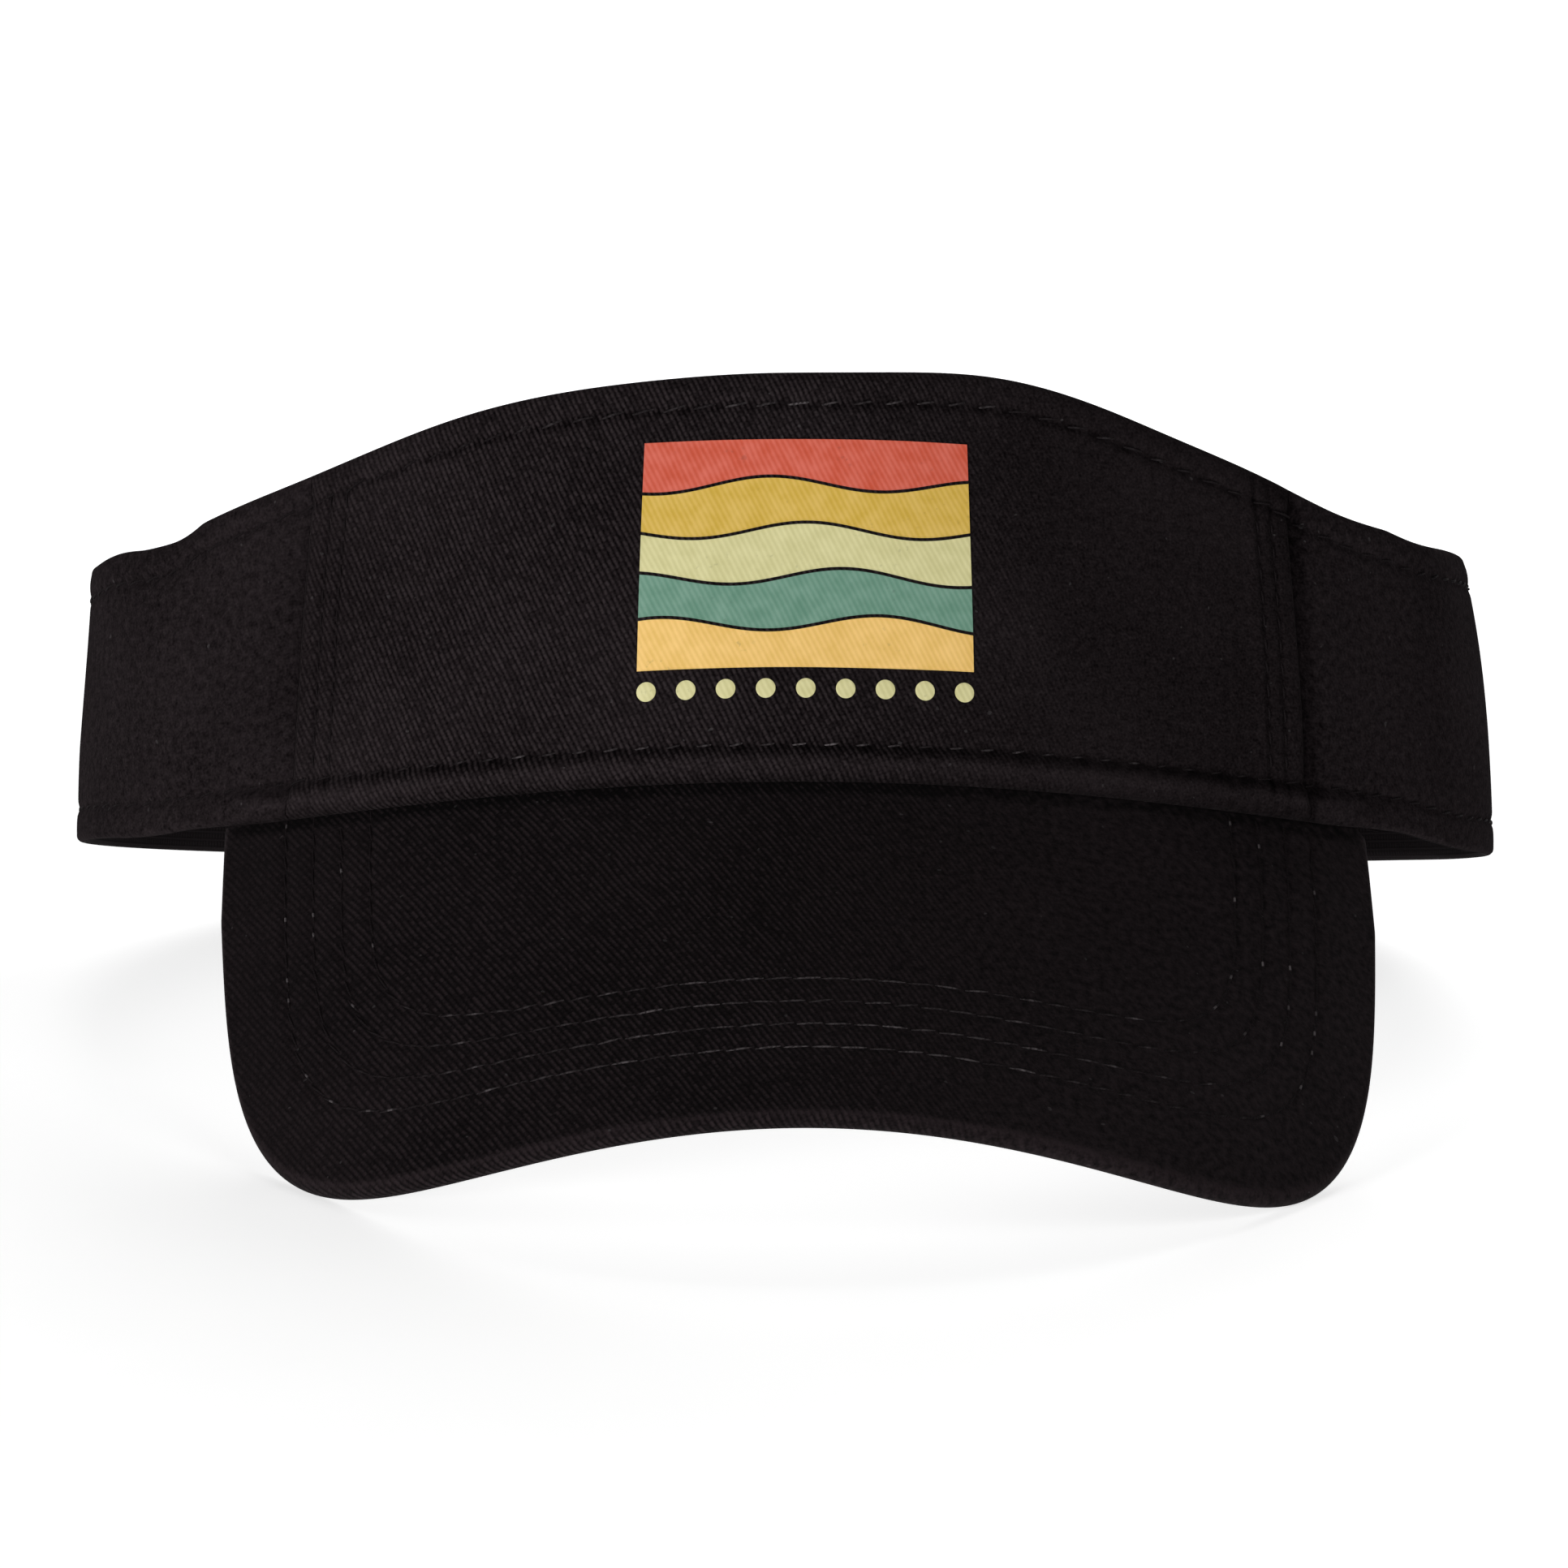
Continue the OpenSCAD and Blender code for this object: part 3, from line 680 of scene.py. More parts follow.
given = node_tree("terry", "Pad", "Spacing", "Loop Height", "Loop Width", "Yarn Radius", "Seed", "Material")
pile = given.node("GeometryNodeInputNamedAttribute", {"Name": "pile"}, data_type="FLOAT")
inside = given.node("FunctionNodeCompare", {"A": pile, "B": 0.5}, data_type="FLOAT")
spread = given.node("GeometryNodeDistributePointsOnFaces", {
    "Mesh": given["Pad"], "Selection": inside, "Distance Min": given["Spacing"], "Density Max": 4000000.0,
    "Seed": given["Seed"]}, distribute_method="POISSON")
spin = given.node("FunctionNodeRandomValue", {2: 0.0, 3: 6.283, "Seed": given["Seed"]}, 1, data_type="FLOAT")
turn = given.node("FunctionNodeRotateRotation", {
    "Rotation": spread["Rotation"], "Rotate By": given.point(X=0.25, Z=spin)}, rotation_space="LOCAL")
loops = given.node("GeometryNodeInstanceOnPoints", {
    "Points": spread, "Rotation": turn,
    "Instance": yarn_loop(given, given["Loop Width"], given["Loop Height"], given["Yarn Radius"], 5)})
end_tree(join(given, given["Pad"], loops), given["Material"])
sweatband = show(grown("sweatband_terry", sweat_mesh, given, {
    "Spacing": 1.2 * mm, "Loop Height": 0.55 * mm, "Loop Width": 1.2 * mm, "Yarn Radius": 0.25 * mm,
    "Seed": 4, "Material": terry}), "sweatband", "terry")


# Bill board
# A stiff moulded sheet inside the bill that gives it its curve. It is cut to the bill's outline, a little
# smaller all round, and lies loose between the two covers.
bill_half = 89.25
bill_l = 69.5
bill_slope = math.radians(43)
bill_seam_r = 138.0
bill_edge_r = 97.0
bill_corner = 3.8
bill_end_w = 3.0
bill_t = 3.1
bill_seam_out = -1.55
bill_seam_up = 0.3
bill_top_z = front_rise - 0.15


def bill_r(forward):
    return bill_seam_r + (bill_edge_r - bill_seam_r) * np.maximum(forward, 0) / bill_l


def bill_bend(flat):
    """Bends places on the flat bill, across and forward, round its falling axis."""
    across, forward = flat[..., 0], flat[..., 1]
    r = bill_r(forward)
    drop = r * (1 - np.cos(across / r))
    return np.stack([r * np.sin(across / r),
                     -half_d - forward * math.cos(bill_slope) + drop * math.sin(bill_slope),
                     bill_top_z - forward * math.sin(bill_slope) - drop * math.cos(bill_slope)], -1)


def bill_normal(flat):
    bent = flat[..., 0] / bill_r(flat[..., 1])
    return grid(np.sin(bent), -math.sin(bill_slope) * np.cos(bent), math.cos(bill_slope) * np.cos(bent))


def seam_point(a):
    return band(a, 0, bill_seam_out) + np.array([0, 0, bill_seam_up])


def seam_flat(a):
    """The line under the band where the bill is sewn on, on the flat bill."""
    p = seam_point(a)
    bent = np.arcsin(p[..., 0] / bill_seam_r)
    drop = bill_seam_r * (1 - np.cos(bent))
    return np.stack([bent * bill_seam_r,
                     (-half_d - p[..., 1] + drop * math.sin(bill_slope)) / math.cos(bill_slope)], -1)


bill_end_x = bill_seam_r * math.sin((bill_half - bill_end_w) / bill_seam_r)
bill_angle = math.degrees(math.asin(bill_end_x / (arc_r + bill_seam_out)))
bill_end_dir = math.degrees(math.atan2(seam_flat(np.array(bill_angle))[1], bill_half))


def outline_flat(direction, half, length, corner):
    """A rounded outline on the flat bill, by the direction from the middle of the seam."""
    turn = np.radians(np.clip(direction, 0, 180))
    reach = (np.abs(np.cos(turn) / half) ** corner + (np.sin(turn) / length) ** corner) ** (-1 / corner)
    round_part = np.stack([reach * np.cos(turn), reach * np.sin(turn)], -1)
    sign = np.where(direction > 90, -1, 1)
    sides = np.stack([sign * half + 0 * direction, sign * half * np.tan(np.radians(direction))], -1)
    beyond = (direction < 0) | (direction > 180)
    return np.where(beyond[..., None], sides, round_part)


def seam_at(direction):
    return bill_angle * (90 - direction) / (90 - bill_end_dir)


def bill_lines(direction):
    """The outer and inner ends of the lines that run in from the edge of the bill to its seam."""
    return outline_flat(direction, bill_half, bill_l, bill_corner), seam_flat(seam_at(direction))


def on_bill(direction, from_edge, up):
    """Points on the bill, in ring millimetres, and where they lie on it when it is flat."""
    outer, inner = bill_lines(direction)
    reach = np.linalg.norm(outer - inner, axis=-1)
    share = np.clip(from_edge / reach, -1, 1)[..., None]
    flat = outer + (inner - outer) * share
    held = bill_bend(inner)
    lift = seam_point(seam_at(direction))[..., 2] - held[..., 2]
    points = bill_bend(flat) + up[..., None] * bill_normal(flat)
    points[..., 2] += lift * np.clip(share[..., 0], 0, 1) ** 2
    return points, flat


fine = np.linspace(bill_end_dir, 180 - bill_end_dir, 4001)
edge_line = outline_flat(fine, bill_half, bill_l, bill_corner)
edge_run = np.concatenate([[0], np.cumsum(np.linalg.norm(np.diff(edge_line, axis=0), axis=1))])
bill_dirs = np.interp(np.linspace(0, edge_run[-1], 300), edge_run, fine)[:, None]
bill_reach = np.linalg.norm(np.subtract(*bill_lines(bill_dirs)), axis=-1)

bill_sheet, paint, shader = finish("bill_sheet", 0.55, 0.4)
grain = paint.noise(paint.place(), 1500, 4)
feed(shader, Base_Color=grain.mixed((0.52, 0.51, 0.47), (0.72, 0.71, 0.67)),
     Normal=grain.bumped(0.05 * mm, 0.5))
board_short = 7.0
board_inset = 1.9
board_faces = (-0.75, -2.35)
board_dirs = bill_dirs[bill_reach[:, 0] > 12][::3]
board_reach = np.linalg.norm(np.subtract(*bill_lines(board_dirs)), axis=-1)
board_edge = board_inset + (board_reach - board_inset - board_short) * np.linspace(1, 0, 30)
(face, flat), (back, _) = (on_bill(board_dirs + 0 * board_edge, board_edge, up + 0 * board_edge)
                           for up in board_faces)
show(ply("bill_board_sheet", face[::-1], back[::-1], flat[::-1], bill_sheet), "bill_board", "board")


# Bill covers
# Two pieces of the twill, sewn together round the outer edge and turned over the board, so that the upper
# one rolls over the edge. Four rows of stitches follow the outline and hold both covers to the board.
quilt_side = 11.6
quilt_front = 14.1
quilt_side_step = 4.65
quilt_front_step = 4.75
quilt_corner = 4.6
bill_row_count = 4
seam_meet = 4.5
roll_r = bill_t / 2
roll_meet = 140
cover_t = 0.5
bill_twill_slant = math.radians(118.5)
bill_twill_pitch = 0.87


def quilt_size(row):
    """Half the width and the length of a row of stitches, on the flat bill."""
    return bill_half - quilt_side - quilt_side_step * row, bill_l - quilt_front - quilt_front_step * row


def quilted(flat):
    """How far the cover sinks along the stitch rows and swells between them."""
    across, forward = np.abs(flat[..., 0]), np.maximum(flat[..., 1], 0)
    depth = 0
    for row in range(bill_row_count):
        half, length = quilt_size(row)
        level = ((across / half) ** quilt_corner + (forward / length) ** quilt_corner) ** (1 / quilt_corner)
        distance = np.hypot(across, forward) * (1 - 1 / np.maximum(level, 0.05))
        depth = depth - 0.14 * dent(distance, 0.55) + 0.07 * dent(distance - 2.1, 1.0)
    waves = 0.10 * np.sin(flat[..., 0] / 8.3 + 0.7) * np.sin(flat[..., 1] / 9.1 + 1.9)
    return depth + waves * np.clip((bill_l - forward) / 14, 0, 1)


def bill_cover(name, columns, top, material):
    """A cover of the bill: flat over the board, and rolled round its edge to where the two covers meet."""
    turn = np.radians(np.linspace(0, roll_meet, 16) if top else np.linspace(0, 176 - roll_meet, 6))
    inward = roll_r + np.maximum(bill_reach - roll_r, 0.05) * np.linspace(1, 0, columns) ** 1.15
    rolled = roll_r * (1 - np.sin(turn[1:])) + 0 * bill_reach
    from_edge = np.concatenate([inward, rolled], 1)
    turn = np.concatenate([np.zeros(columns), turn[1:]])
    sunk = roll_r * (np.cos(turn) - 1)
    way = 1 if top else -1
    level = 0 if top else -bill_t
    direction = bill_dirs + 0 * from_edge
    flat = on_bill(direction, from_edge, 0 * from_edge)[1]
    relief = quilted(flat) * np.cos(np.minimum(turn, np.pi / 2)) * np.clip(from_edge / 6, 0, 1)
    from_seam = bill_reach - from_edge
    relief = relief * np.clip(from_seam / 5, 0, 1)
    if not top:
        rolled_in = np.where(turn > 0, 0, fade(from_seam / seam_meet))
        relief = relief - (bill_t - 0.9) * rolled_in * np.clip((bill_reach - roll_r) / 6, 0, 1)
    face = on_bill(direction, from_edge, level + way * (sunk + relief))[0]
    back = on_bill(direction, from_edge + cover_t * np.sin(turn),
                   level + way * (sunk + np.where(turn > 0, 0, relief) - cover_t * np.cos(turn)))[0]
    out_to = np.where(turn > 0, roll_r - roll_r * turn, from_edge)
    cloth = on_bill(direction, out_to, 0 * out_to)[1]
    bend = np.where(turn > 0, turn, 1 - from_edge / roll_r)
    # Painted highlight, partly edge wear: paler where the cover rolls over the edge of the bill. Painted
    # shadow: darker close to the seam, in the crevice under the band's hem.
    wear_and_painted_light = 1.6 * dent(bend - 0.3, 0.35) + 0.15 * np.clip(bend / 0.5, 0, 1)
    wear_and_painted_light = wear_and_painted_light - 1.5 * fade((from_seam - 2.4) / 1.8) * np.clip(bill_reach / 9, 0, 1)
    if not top:
        face, back = back, face
    return ply(name, face[::-1], back[::-1], cloth[::-1], material, wear_and_painted_light[::-1])


# The bill's right part gets painted light.
bill_twill = twill("bill_twill", bill_twill_slant, bill_twill_pitch, (0.0003, 0.0001, 0.0002),
                   (0.0172, 0.0122, 0.0135), contrast=0.78, vary=0.95, smooth=(-15, 45), painted_side_shade=-0.16,
                   mottle=1.5, gloss=0.06)
for name, node, columns, top, flat, area in (
        ("bill_top_cloth", "bill_top_cover", 84, True, (0.186, 0.095), 0.0132),
        ("bill_under_cloth", "bill_under_cover", 60, False, (0.182, 0.093), 0.0125)):
    cover = show(bill_cover(name, columns, top, bill_twill), node, "twill")


# Stitches
# Lockstitches of black thread: along both edges of the band, in two rows beside each side seam, in the four
# rows of the bill, and inside on the sweatband and the seam tapes. The thread lies on the cloth in low bows.
fell_pitch = 3.4
bill_pitch = 3.95
under_pitch = 4.1
tape_pitch = 3.0
tape_sewn = -2.80
end_inset = 3.0
sewing_thread, paint, shader = finish("sewing_thread", 0.7, 0.03)
# The thread's colour carries painted highlights: a pale glint along the stitches that face the front and run
# across it, and a pale spot in the middle of each of the others.
along, about, painted_glint, glint_facing = (paint.attribute(name) for name in ("along", "about", "painted_glint", "glint_facing"))
twist = (along * 7 + about * 2).wave()
glint_fuzz = paint.noise(paint.place(), 1900, 3).limited(0.36, 0.62)
glint_spot = (along - 0.5).size().limited(0.13, 0.07)
glint_fuzz = (glint_fuzz * 0.8 + 0.2) * glint_facing + glint_spot * (1 - glint_facing)
feed(shader, Base_Color=(twist * 0.04 + painted_glint * glint_fuzz).mixed((0.0070, 0.0052, 0.0057), (0.12, 0.106, 0.110)),
     Normal=twist.bumped(0.06 * mm, 0.6))

sewn_row = node_tree("sewn_row", "Places", "Stitch Length", "Arch", "Dip", "Thread Radius", "Material")
half = sewn_row["Stitch Length"] * 0.5
dip = sewn_row["Dip"]
path = bow(sewn_row, 7, sewn_row.point(X=half * -1, Z=dip * -1), sewn_row.point(Z=sewn_row["Arch"] * 2 + dip),
           sewn_row.point(X=half, Z=dip * -1))
ring = circle(sewn_row, 6, sewn_row["Thread Radius"])
path, ring = (sewn_row.node("GeometryNodeStoreNamedAttribute", {
    "Geometry": curve, "Name": label, "Value": sewn_row.node("GeometryNodeSplineParameter")},
    data_type="FLOAT") for curve, label in ((path, "along"), (ring, "about")))
thread = spun(sewn_row, path, ring, True)
run, out = (sewn_row.node("GeometryNodeInputNamedAttribute", {"Name": label}, data_type="FLOAT_VECTOR")
            for label in ("run", "out"))
turn = sewn_row.node("FunctionNodeAxesToRotation", {"Primary Axis": run, "Secondary Axis": out},
                     primary_axis="X", secondary_axis="Z")
stitches = sewn_row.node("GeometryNodeInstanceOnPoints", {
    "Points": sewn_row["Places"], "Instance": thread, "Rotation": turn})
end_tree(stitches, sewn_row["Material"])


def even_places(points, outs, pitch):
    """Evenly spaced places along a path, each with its direction along it and its direction out."""
    run = np.concatenate([[0], np.cumsum(np.linalg.norm(np.diff(points, axis=0), axis=1))])
    where = np.arange(pitch / 2, run[-1], pitch)

    def at(values, place):
        return np.stack([np.interp(place, run, values[:, k]) for k in range(3)], -1)

    return at(points, where), at(points, where + 0.5) - at(points, where - 0.5), at(outs, where)


def sew(name, rows, length, arch, slant, seed, radius=0.18, dip=0.22, gleam=0.17, even=1.0, glint_specks=0.0,
        wide=0.5):
    """A mesh of stitches along rows of places, each lying a little aslant in its row. Those that face the
    front and run across it get a painted glint, more or less even, and some of the others a small painted
    highlight."""
    points, run, out = (np.concatenate(part) for part in zip(*rows))
    run = run / np.linalg.norm(run, axis=1, keepdims=True)
    out = out / np.linalg.norm(out, axis=1, keepdims=True)
    chance = np.random.default_rng(seed)
    lean = math.radians(slant) + chance.normal(0, math.radians(3), len(run))
    sparse = chance.uniform(0.4, 1, len(run)) * (chance.random(len(run)) < 0.25)
    run = run * np.cos(lean)[:, None] + np.cross(out, run) * np.sin(lean)[:, None]
    # Painted glints: how far each stitch faces the front and runs across it, and how pale its painted
    # highlight is, with painted highlight specks on some of the others.
    glint_facing = fade(np.abs(out[:, 0]) / wide) * run[:, 0] ** 2
    gleam = np.repeat(np.broadcast_to(gleam, len(rows)), [len(row[0]) for row in rows])
    pale = chance.gamma(even, gleam * 1.3 / even) * glint_facing
    painted_glint = np.clip(pale + glint_specks * sparse * (1 - glint_facing), 0, 1)
    mesh = bpy.data.meshes.new(name + "_places")
    mesh.from_pydata(on_table(points).tolist(), [], [])
    mark(mesh, "run", run @ ring_axes, "FLOAT_VECTOR", "vector")
    mark(mesh, "out", out @ ring_axes, "FLOAT_VECTOR", "vector")
    mark(mesh, "painted_glint", painted_glint)
    mark(mesh, "glint_facing", glint_facing)
    return grown(name, mesh, sewn_row, {
        "Stitch Length": length * mm, "Arch": arch * mm, "Dip": dip * mm, "Thread Radius": radius * mm,
        "Material": sewing_thread})


def row_on(a, h, out, pitch, way=1):
    """Places for a row of stitches at a distance out from the band, on a face that looks out or in."""
    points = band(a, h, out)
    return even_places(points, way * (band(a, h, out + 1) - points), pitch)


def band_row(a, h, pitch):
    return row_on(a, h, outer_face(a, h), pitch)


def lining_row(a, h):
    """Places for a hem row where it comes through to the lining."""
    return row_on(a, h, panel_rise * arm_rise(a) - band_t(a), stitch_pitch, -1)


def bill_row(row, up, pitch):
    """Places for a row of stitches on the bill, on its upper or its under side."""
    direction = np.linspace(bill_end_dir * 0.9, 180 - bill_end_dir * 0.9, 1200)
    goal = outline_flat(direction, *quilt_size(row), quilt_corner)
    outer, inner = bill_lines(fine)
    gap = ((outer - inner)[None, :, 0] * (goal[:, None, 1] - inner[None, :, 1])
           - (outer - inner)[None, :, 1] * (goal[:, None, 0] - inner[None, :, 0]))
    reach = np.linalg.norm(outer - inner, axis=1)
    hit = np.argmin(np.abs(gap) / reach, axis=1)
    from_edge = np.linalg.norm(goal - outer[hit], axis=1)
    kept = from_edge < reach[hit] - 1.5
    way = 1 if up > -1 else -1
    sunk = quilted(goal[kept])
    points, flat = on_bill(fine[hit][kept], from_edge[kept], up + way * sunk)
    return even_places(points, way * bill_normal(flat), pitch)


left_s, right_s = ring_length(left_end), ring_length(right_end)
row_a = ring_angle(np.linspace(left_s + end_inset, right_s - end_inset, 900))
top_h = band_h(row_a) - top_row
hem_rows = [band_row(row_a, top_h, stitch_pitch), band_row(row_a, low_row, stitch_pitch)]
show(sew("hem_stitches", hem_rows, length=3.4, arch=0.16, slant=11, seed=11, gleam=(0.20, 0.42), even=3.0,
         wide=0.65), None, "twill")

left_a = ring_angle(np.linspace(left_s + end_inset, -sweat_s - 2, 400))
right_a = ring_angle(np.linspace(sweat_s + 2, right_s - end_inset, 300))
inner_rows = [lining_row(row_a, top_h), lining_row(left_a, low_row), lining_row(right_a, low_row)]
show(sew("inner_hem_stitches", inner_rows, length=3.4, arch=0.14, slant=-8, seed=17), None, "lining")

uprights = [(way * (seam_s - row), 200) for way in (-1, 1) for row in fell_rows]
uprights += [(left_s + end_inset, 120), (right_s - end_inset, 120)]
seam_rows = []
for length, count in uprights:
    a = ring_angle(length) + np.zeros(count)
    seam_rows.append(band_row(a, np.linspace(low_row + 1, band_h(a[0]) - top_row - 1, count), fell_pitch))
show(sew("seam_stitches", seam_rows, length=2.4, arch=0.10, slant=6, seed=12), None, "twill")

top_rows, under_rows = ([bill_row(row, up, pitch) for row in range(bill_row_count)]
                        for up, pitch in ((0.0, bill_pitch), (-bill_t, under_pitch)))
show(sew("bill_stitches", top_rows, length=3.8, arch=0.06, slant=4, seed=13, dip=0.14, gleam=0.25, even=4.0,
         glint_specks=0.8, wide=0.80), None, "twill")
show(sew("bill_under_stitches", under_rows, length=3.4, arch=0.12, slant=4, seed=14), None, "twill")

sweat_a = ring_angle(np.linspace(-sweat_s + 3, sweat_s - 3, 500))
sewn_out = -band_t(sweat_a) - sweat_gap - sweat_t + sweat_sunk
sweat_rows = [row_on(sweat_a, lining_inset + sweat_row, sewn_out, sweat_pitch, -1)]
show(sew("sweatband_stitches", sweat_rows, length=2.6, arch=0.25, slant=4, seed=15), None, "twill")

tape_rows = []
for middle in (-seam_s, seam_s):
    for edge in (-tape_w / 2 + tape_row, tape_w / 2 - tape_row):
        a = ring_angle(middle + edge) + np.zeros(200)
        tape_rows.append(row_on(a, np.linspace(4, band_h(a[0]) - 4, 200), tape_sewn, tape_pitch, -1))
show(sew("tape_stitches", tape_rows, length=2.2, arch=0.10, slant=3, seed=16, radius=0.16), None, "twill")


# Loop tape
# The soft half of the hook-and-loop closure: a woven tape with a pile of fine loops, sewn round its edges to
# the outside of the left arm where the strap comes down.
patch_w = 25.0
patch_inset = 2.5
lean_cos = math.cos(math.radians(side_lean))
lean_sin = math.sin(math.radians(side_lean))


def bent_back(flat, start):
    """Where a place on a flat tape, along, up and out, comes to lie on the back of the band."""
    x = flat.split()
    up, out = x["Y"], x["Z"]
    turn = x / arc_r + start
    r = out * lean_cos - up * lean_sin + arc_r
    right = r * turn.math("SINE", turn)
    back = half_d - arc_r - r * turn.math("COSINE", turn)
    high = up * lean_cos + out * lean_sin
    return flat.point(X=right * mm,
                      Y=back * (mm * ring_back[1]) + high * (mm * ring_up[1]) + ring_place[1],
                      Z=back * (mm * ring_back[2]) + high * (mm * ring_up[2]) + ring_place[2])


def tape_tree(name, pile_shape):
    """A tree for a tape with its pile: made flat in millimetres, then bent on to the back of the band."""
    given = node_tree(name, "Tape", "Length", "Width", "Base Thickness", "Base Out", "Low Edge",
                      "Start Angle", "Pile Pitch", "Pile Height", "Yarn Radius", "Seed", "Material")
    length, width = given["Length"], given["Width"]
    base = given.node("GeometryNodeMeshCube", {
        "Size": given.point(X=length, Y=width, Z=given["Base Thickness"]),
        "Vertices X": 100, "Vertices Y": 26, "Vertices Z": 2})
    tape = given.node("GeometryNodeRealizeInstances", {
        "Geometry": join(given, base, pile_shape(given, length, width))})
    shift = given.point(X=length * 0.5, Y=width * 0.5 + given["Low Edge"], Z=given["Base Out"])
    flat = given.node("ShaderNodeVectorMath", {0: given.node("GeometryNodeInputPosition"), 1: shift},
                      operation="ADD")
    laid = given.node("GeometryNodeSetPosition", {
        "Geometry": tape, "Position": bent_back(flat, given["Start Angle"])})
    end_tree(laid, given["Material"])
    return given


def loop_pile(given, length, width):
    """Fine loops that stand on the tape at random, leaning all ways."""
    field = given.node("GeometryNodeMeshGrid", {
        "Size X": length - 1.2, "Size Y": width - 1.6, "Vertices X": 2, "Vertices Y": 2})
    spread = given.node("GeometryNodeDistributePointsOnFaces", {
        "Mesh": field, "Distance Min": given["Pile Pitch"], "Density Max": 4.0, "Seed": given["Seed"]},
        distribute_method="POISSON")
    lift = given.node("GeometryNodeSetPosition", {
        "Geometry": spread, "Offset": given.point(Z=given["Base Thickness"] * 0.5)})
    tilt = given.node("FunctionNodeRandomValue", {
        0: (-0.7, -0.7, 0.0), 1: (0.7, 0.7, 6.283), "Seed": given["Seed"]}, data_type="FLOAT_VECTOR")
    tall = given["Pile Height"]
    loop = yarn_loop(given, tall * 1.3, tall, given["Yarn Radius"], 4)
    return given.node("GeometryNodeInstanceOnPoints", {"Points": lift, "Instance": loop, "Rotation": tilt})


def tape_finish(name, dark, light, roughness, specular, sheen):
    """A woven nylon tape."""
    material, paint, shader = finish(name, roughness, specular, sheen)
    place = paint.place()
    fibre = paint.noise(place, 2600, 3)
    patches = paint.noise(place, 90, 2)
    shade = (fibre * 0.6 + patches * 0.5).limited(0.25, 0.9)
    feed(shader, Base_Color=shade.mixed(dark, light), Normal=fibre.bumped(0.05 * mm, 0.5))
    return material


loop_l = 99.0
loop_base = 0.5
loop_gap = 0.15
loop_start = math.radians(left_end) + patch_inset / arc_r
patch_low = (back_h - patch_w) / 2
tape_start = bpy.data.meshes.new("tape_start")
loop_fluff = tape_finish("loop_fluff", (0.003, 0.0028, 0.003), (0.017, 0.0155, 0.0163), roughness=0.9,
                         specular=0.12, sheen=0.04)
show(grown("loop_tape_pile", tape_start, tape_tree("loop_tape", loop_pile), {
    "Length": loop_l, "Width": patch_w, "Base Thickness": loop_base, "Base Out": loop_gap + loop_base / 2,
    "Low Edge": patch_low, "Start Angle": loop_start, "Pile Pitch": 1.05, "Pile Height": 0.62,
    "Yarn Radius": 0.085, "Seed": 7, "Material": loop_fluff}), "loop_tape", "loop")


# Strap
# A strip of the twill, folded double and sewn along its edges. Its tail is held in the right arm, and its
# free end comes down on the loops. The line across the strap where that end folds back is worked out, but
# the strip is not bent there.
strap_in = 2.85
strap_w = 29.0
strap_t = 1.4
strap_held = 30.0
strap_past = 55.5
strap_slide = 20.0
fold_clear = 4.6
strap_pitch = 3.2
strap_sewn = 0.10
strap_tail = math.radians(180) - (right_short + strap_held) / arc_r
strap_tip = math.radians(180) + strap_past / arc_r
fold_turn = math.radians(180) - (right_short - strap_slide - fold_clear) / arc_r
strap_l = (strap_tip - strap_tail) * arc_r
tip_r = 9.0
edge_r = strap_t / 2

fold_at = (fold_turn - strap_tail) * arc_r
steps = np.concatenate([np.arange(0, fold_at - 7, 1.5), np.arange(fold_at - 7, fold_at + 9, 0.5),
                        np.arange(fold_at + 9, strap_l - tip_r, 1.5),
                        strap_l - tip_r + (tip_r - edge_r) * np.sin(np.linspace(0, np.pi / 2, 24))])
ending = np.radians(np.linspace(12, 86, 6))
along_s = np.concatenate([steps, strap_l - edge_r + edge_r * np.sin(ending)])[:, None]
thin = np.concatenate([np.ones(len(steps)), np.cos(ending)])[:, None]
past = np.clip(along_s - (strap_l - tip_r), 0, tip_r)
half_strap = strap_w / 2 - tip_r + np.sqrt(tip_r ** 2 - np.minimum(past, tip_r - 0.02) ** 2)
turned = np.radians(np.linspace(-86, 0, 6))
flat_rows = np.linspace(0, 1, 34)[1:-1]
edge_turn = np.concatenate([turned, 0 * flat_rows, -turned[::-1]])
low_part = -half_strap + edge_r * (1 + np.sin(turned))
high_part = half_strap - edge_r * (1 + np.sin(turned[::-1]))
flat_part = low_part[:, -1:] + (high_part[:, :1] - low_part[:, -1:]) * flat_rows
v = np.concatenate([low_part, flat_part, high_part], 1)
thick = strap_t / 2 * np.cos(edge_turn) * thin
stitch_inset = 2.4
from_side = half_strap - np.abs(v)
pressed = 0.16 * dent(from_side - stitch_inset, 0.5) - 0.05 * dent(from_side - 4.4, 1.4)
pressed = pressed * np.clip(thin, 0, 1)
strap_a = np.degrees(strap_tail + along_s / arc_r)
strap_mid = strap_in + strap_t / 2
strap_h = back_h / 2 + v
strap_mesh = ply("strap_cloth", band(strap_a, strap_h, strap_mid + thick - pressed),
                 band(strap_a, strap_h, strap_mid - thick + 0.5 * pressed), grid(along_s, v), crown_twill,
                 np.abs(np.sin(edge_turn)) * 0.8)
strap = placed(strap_mesh)
fold_from, fold_to = (on_table(band(np.degrees(fold_turn + reach / arc_r), back_h / 2, strap_mid))
                      for reach in (-3, 5))
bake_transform(strap)
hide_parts("strap_base", "strap_tab")

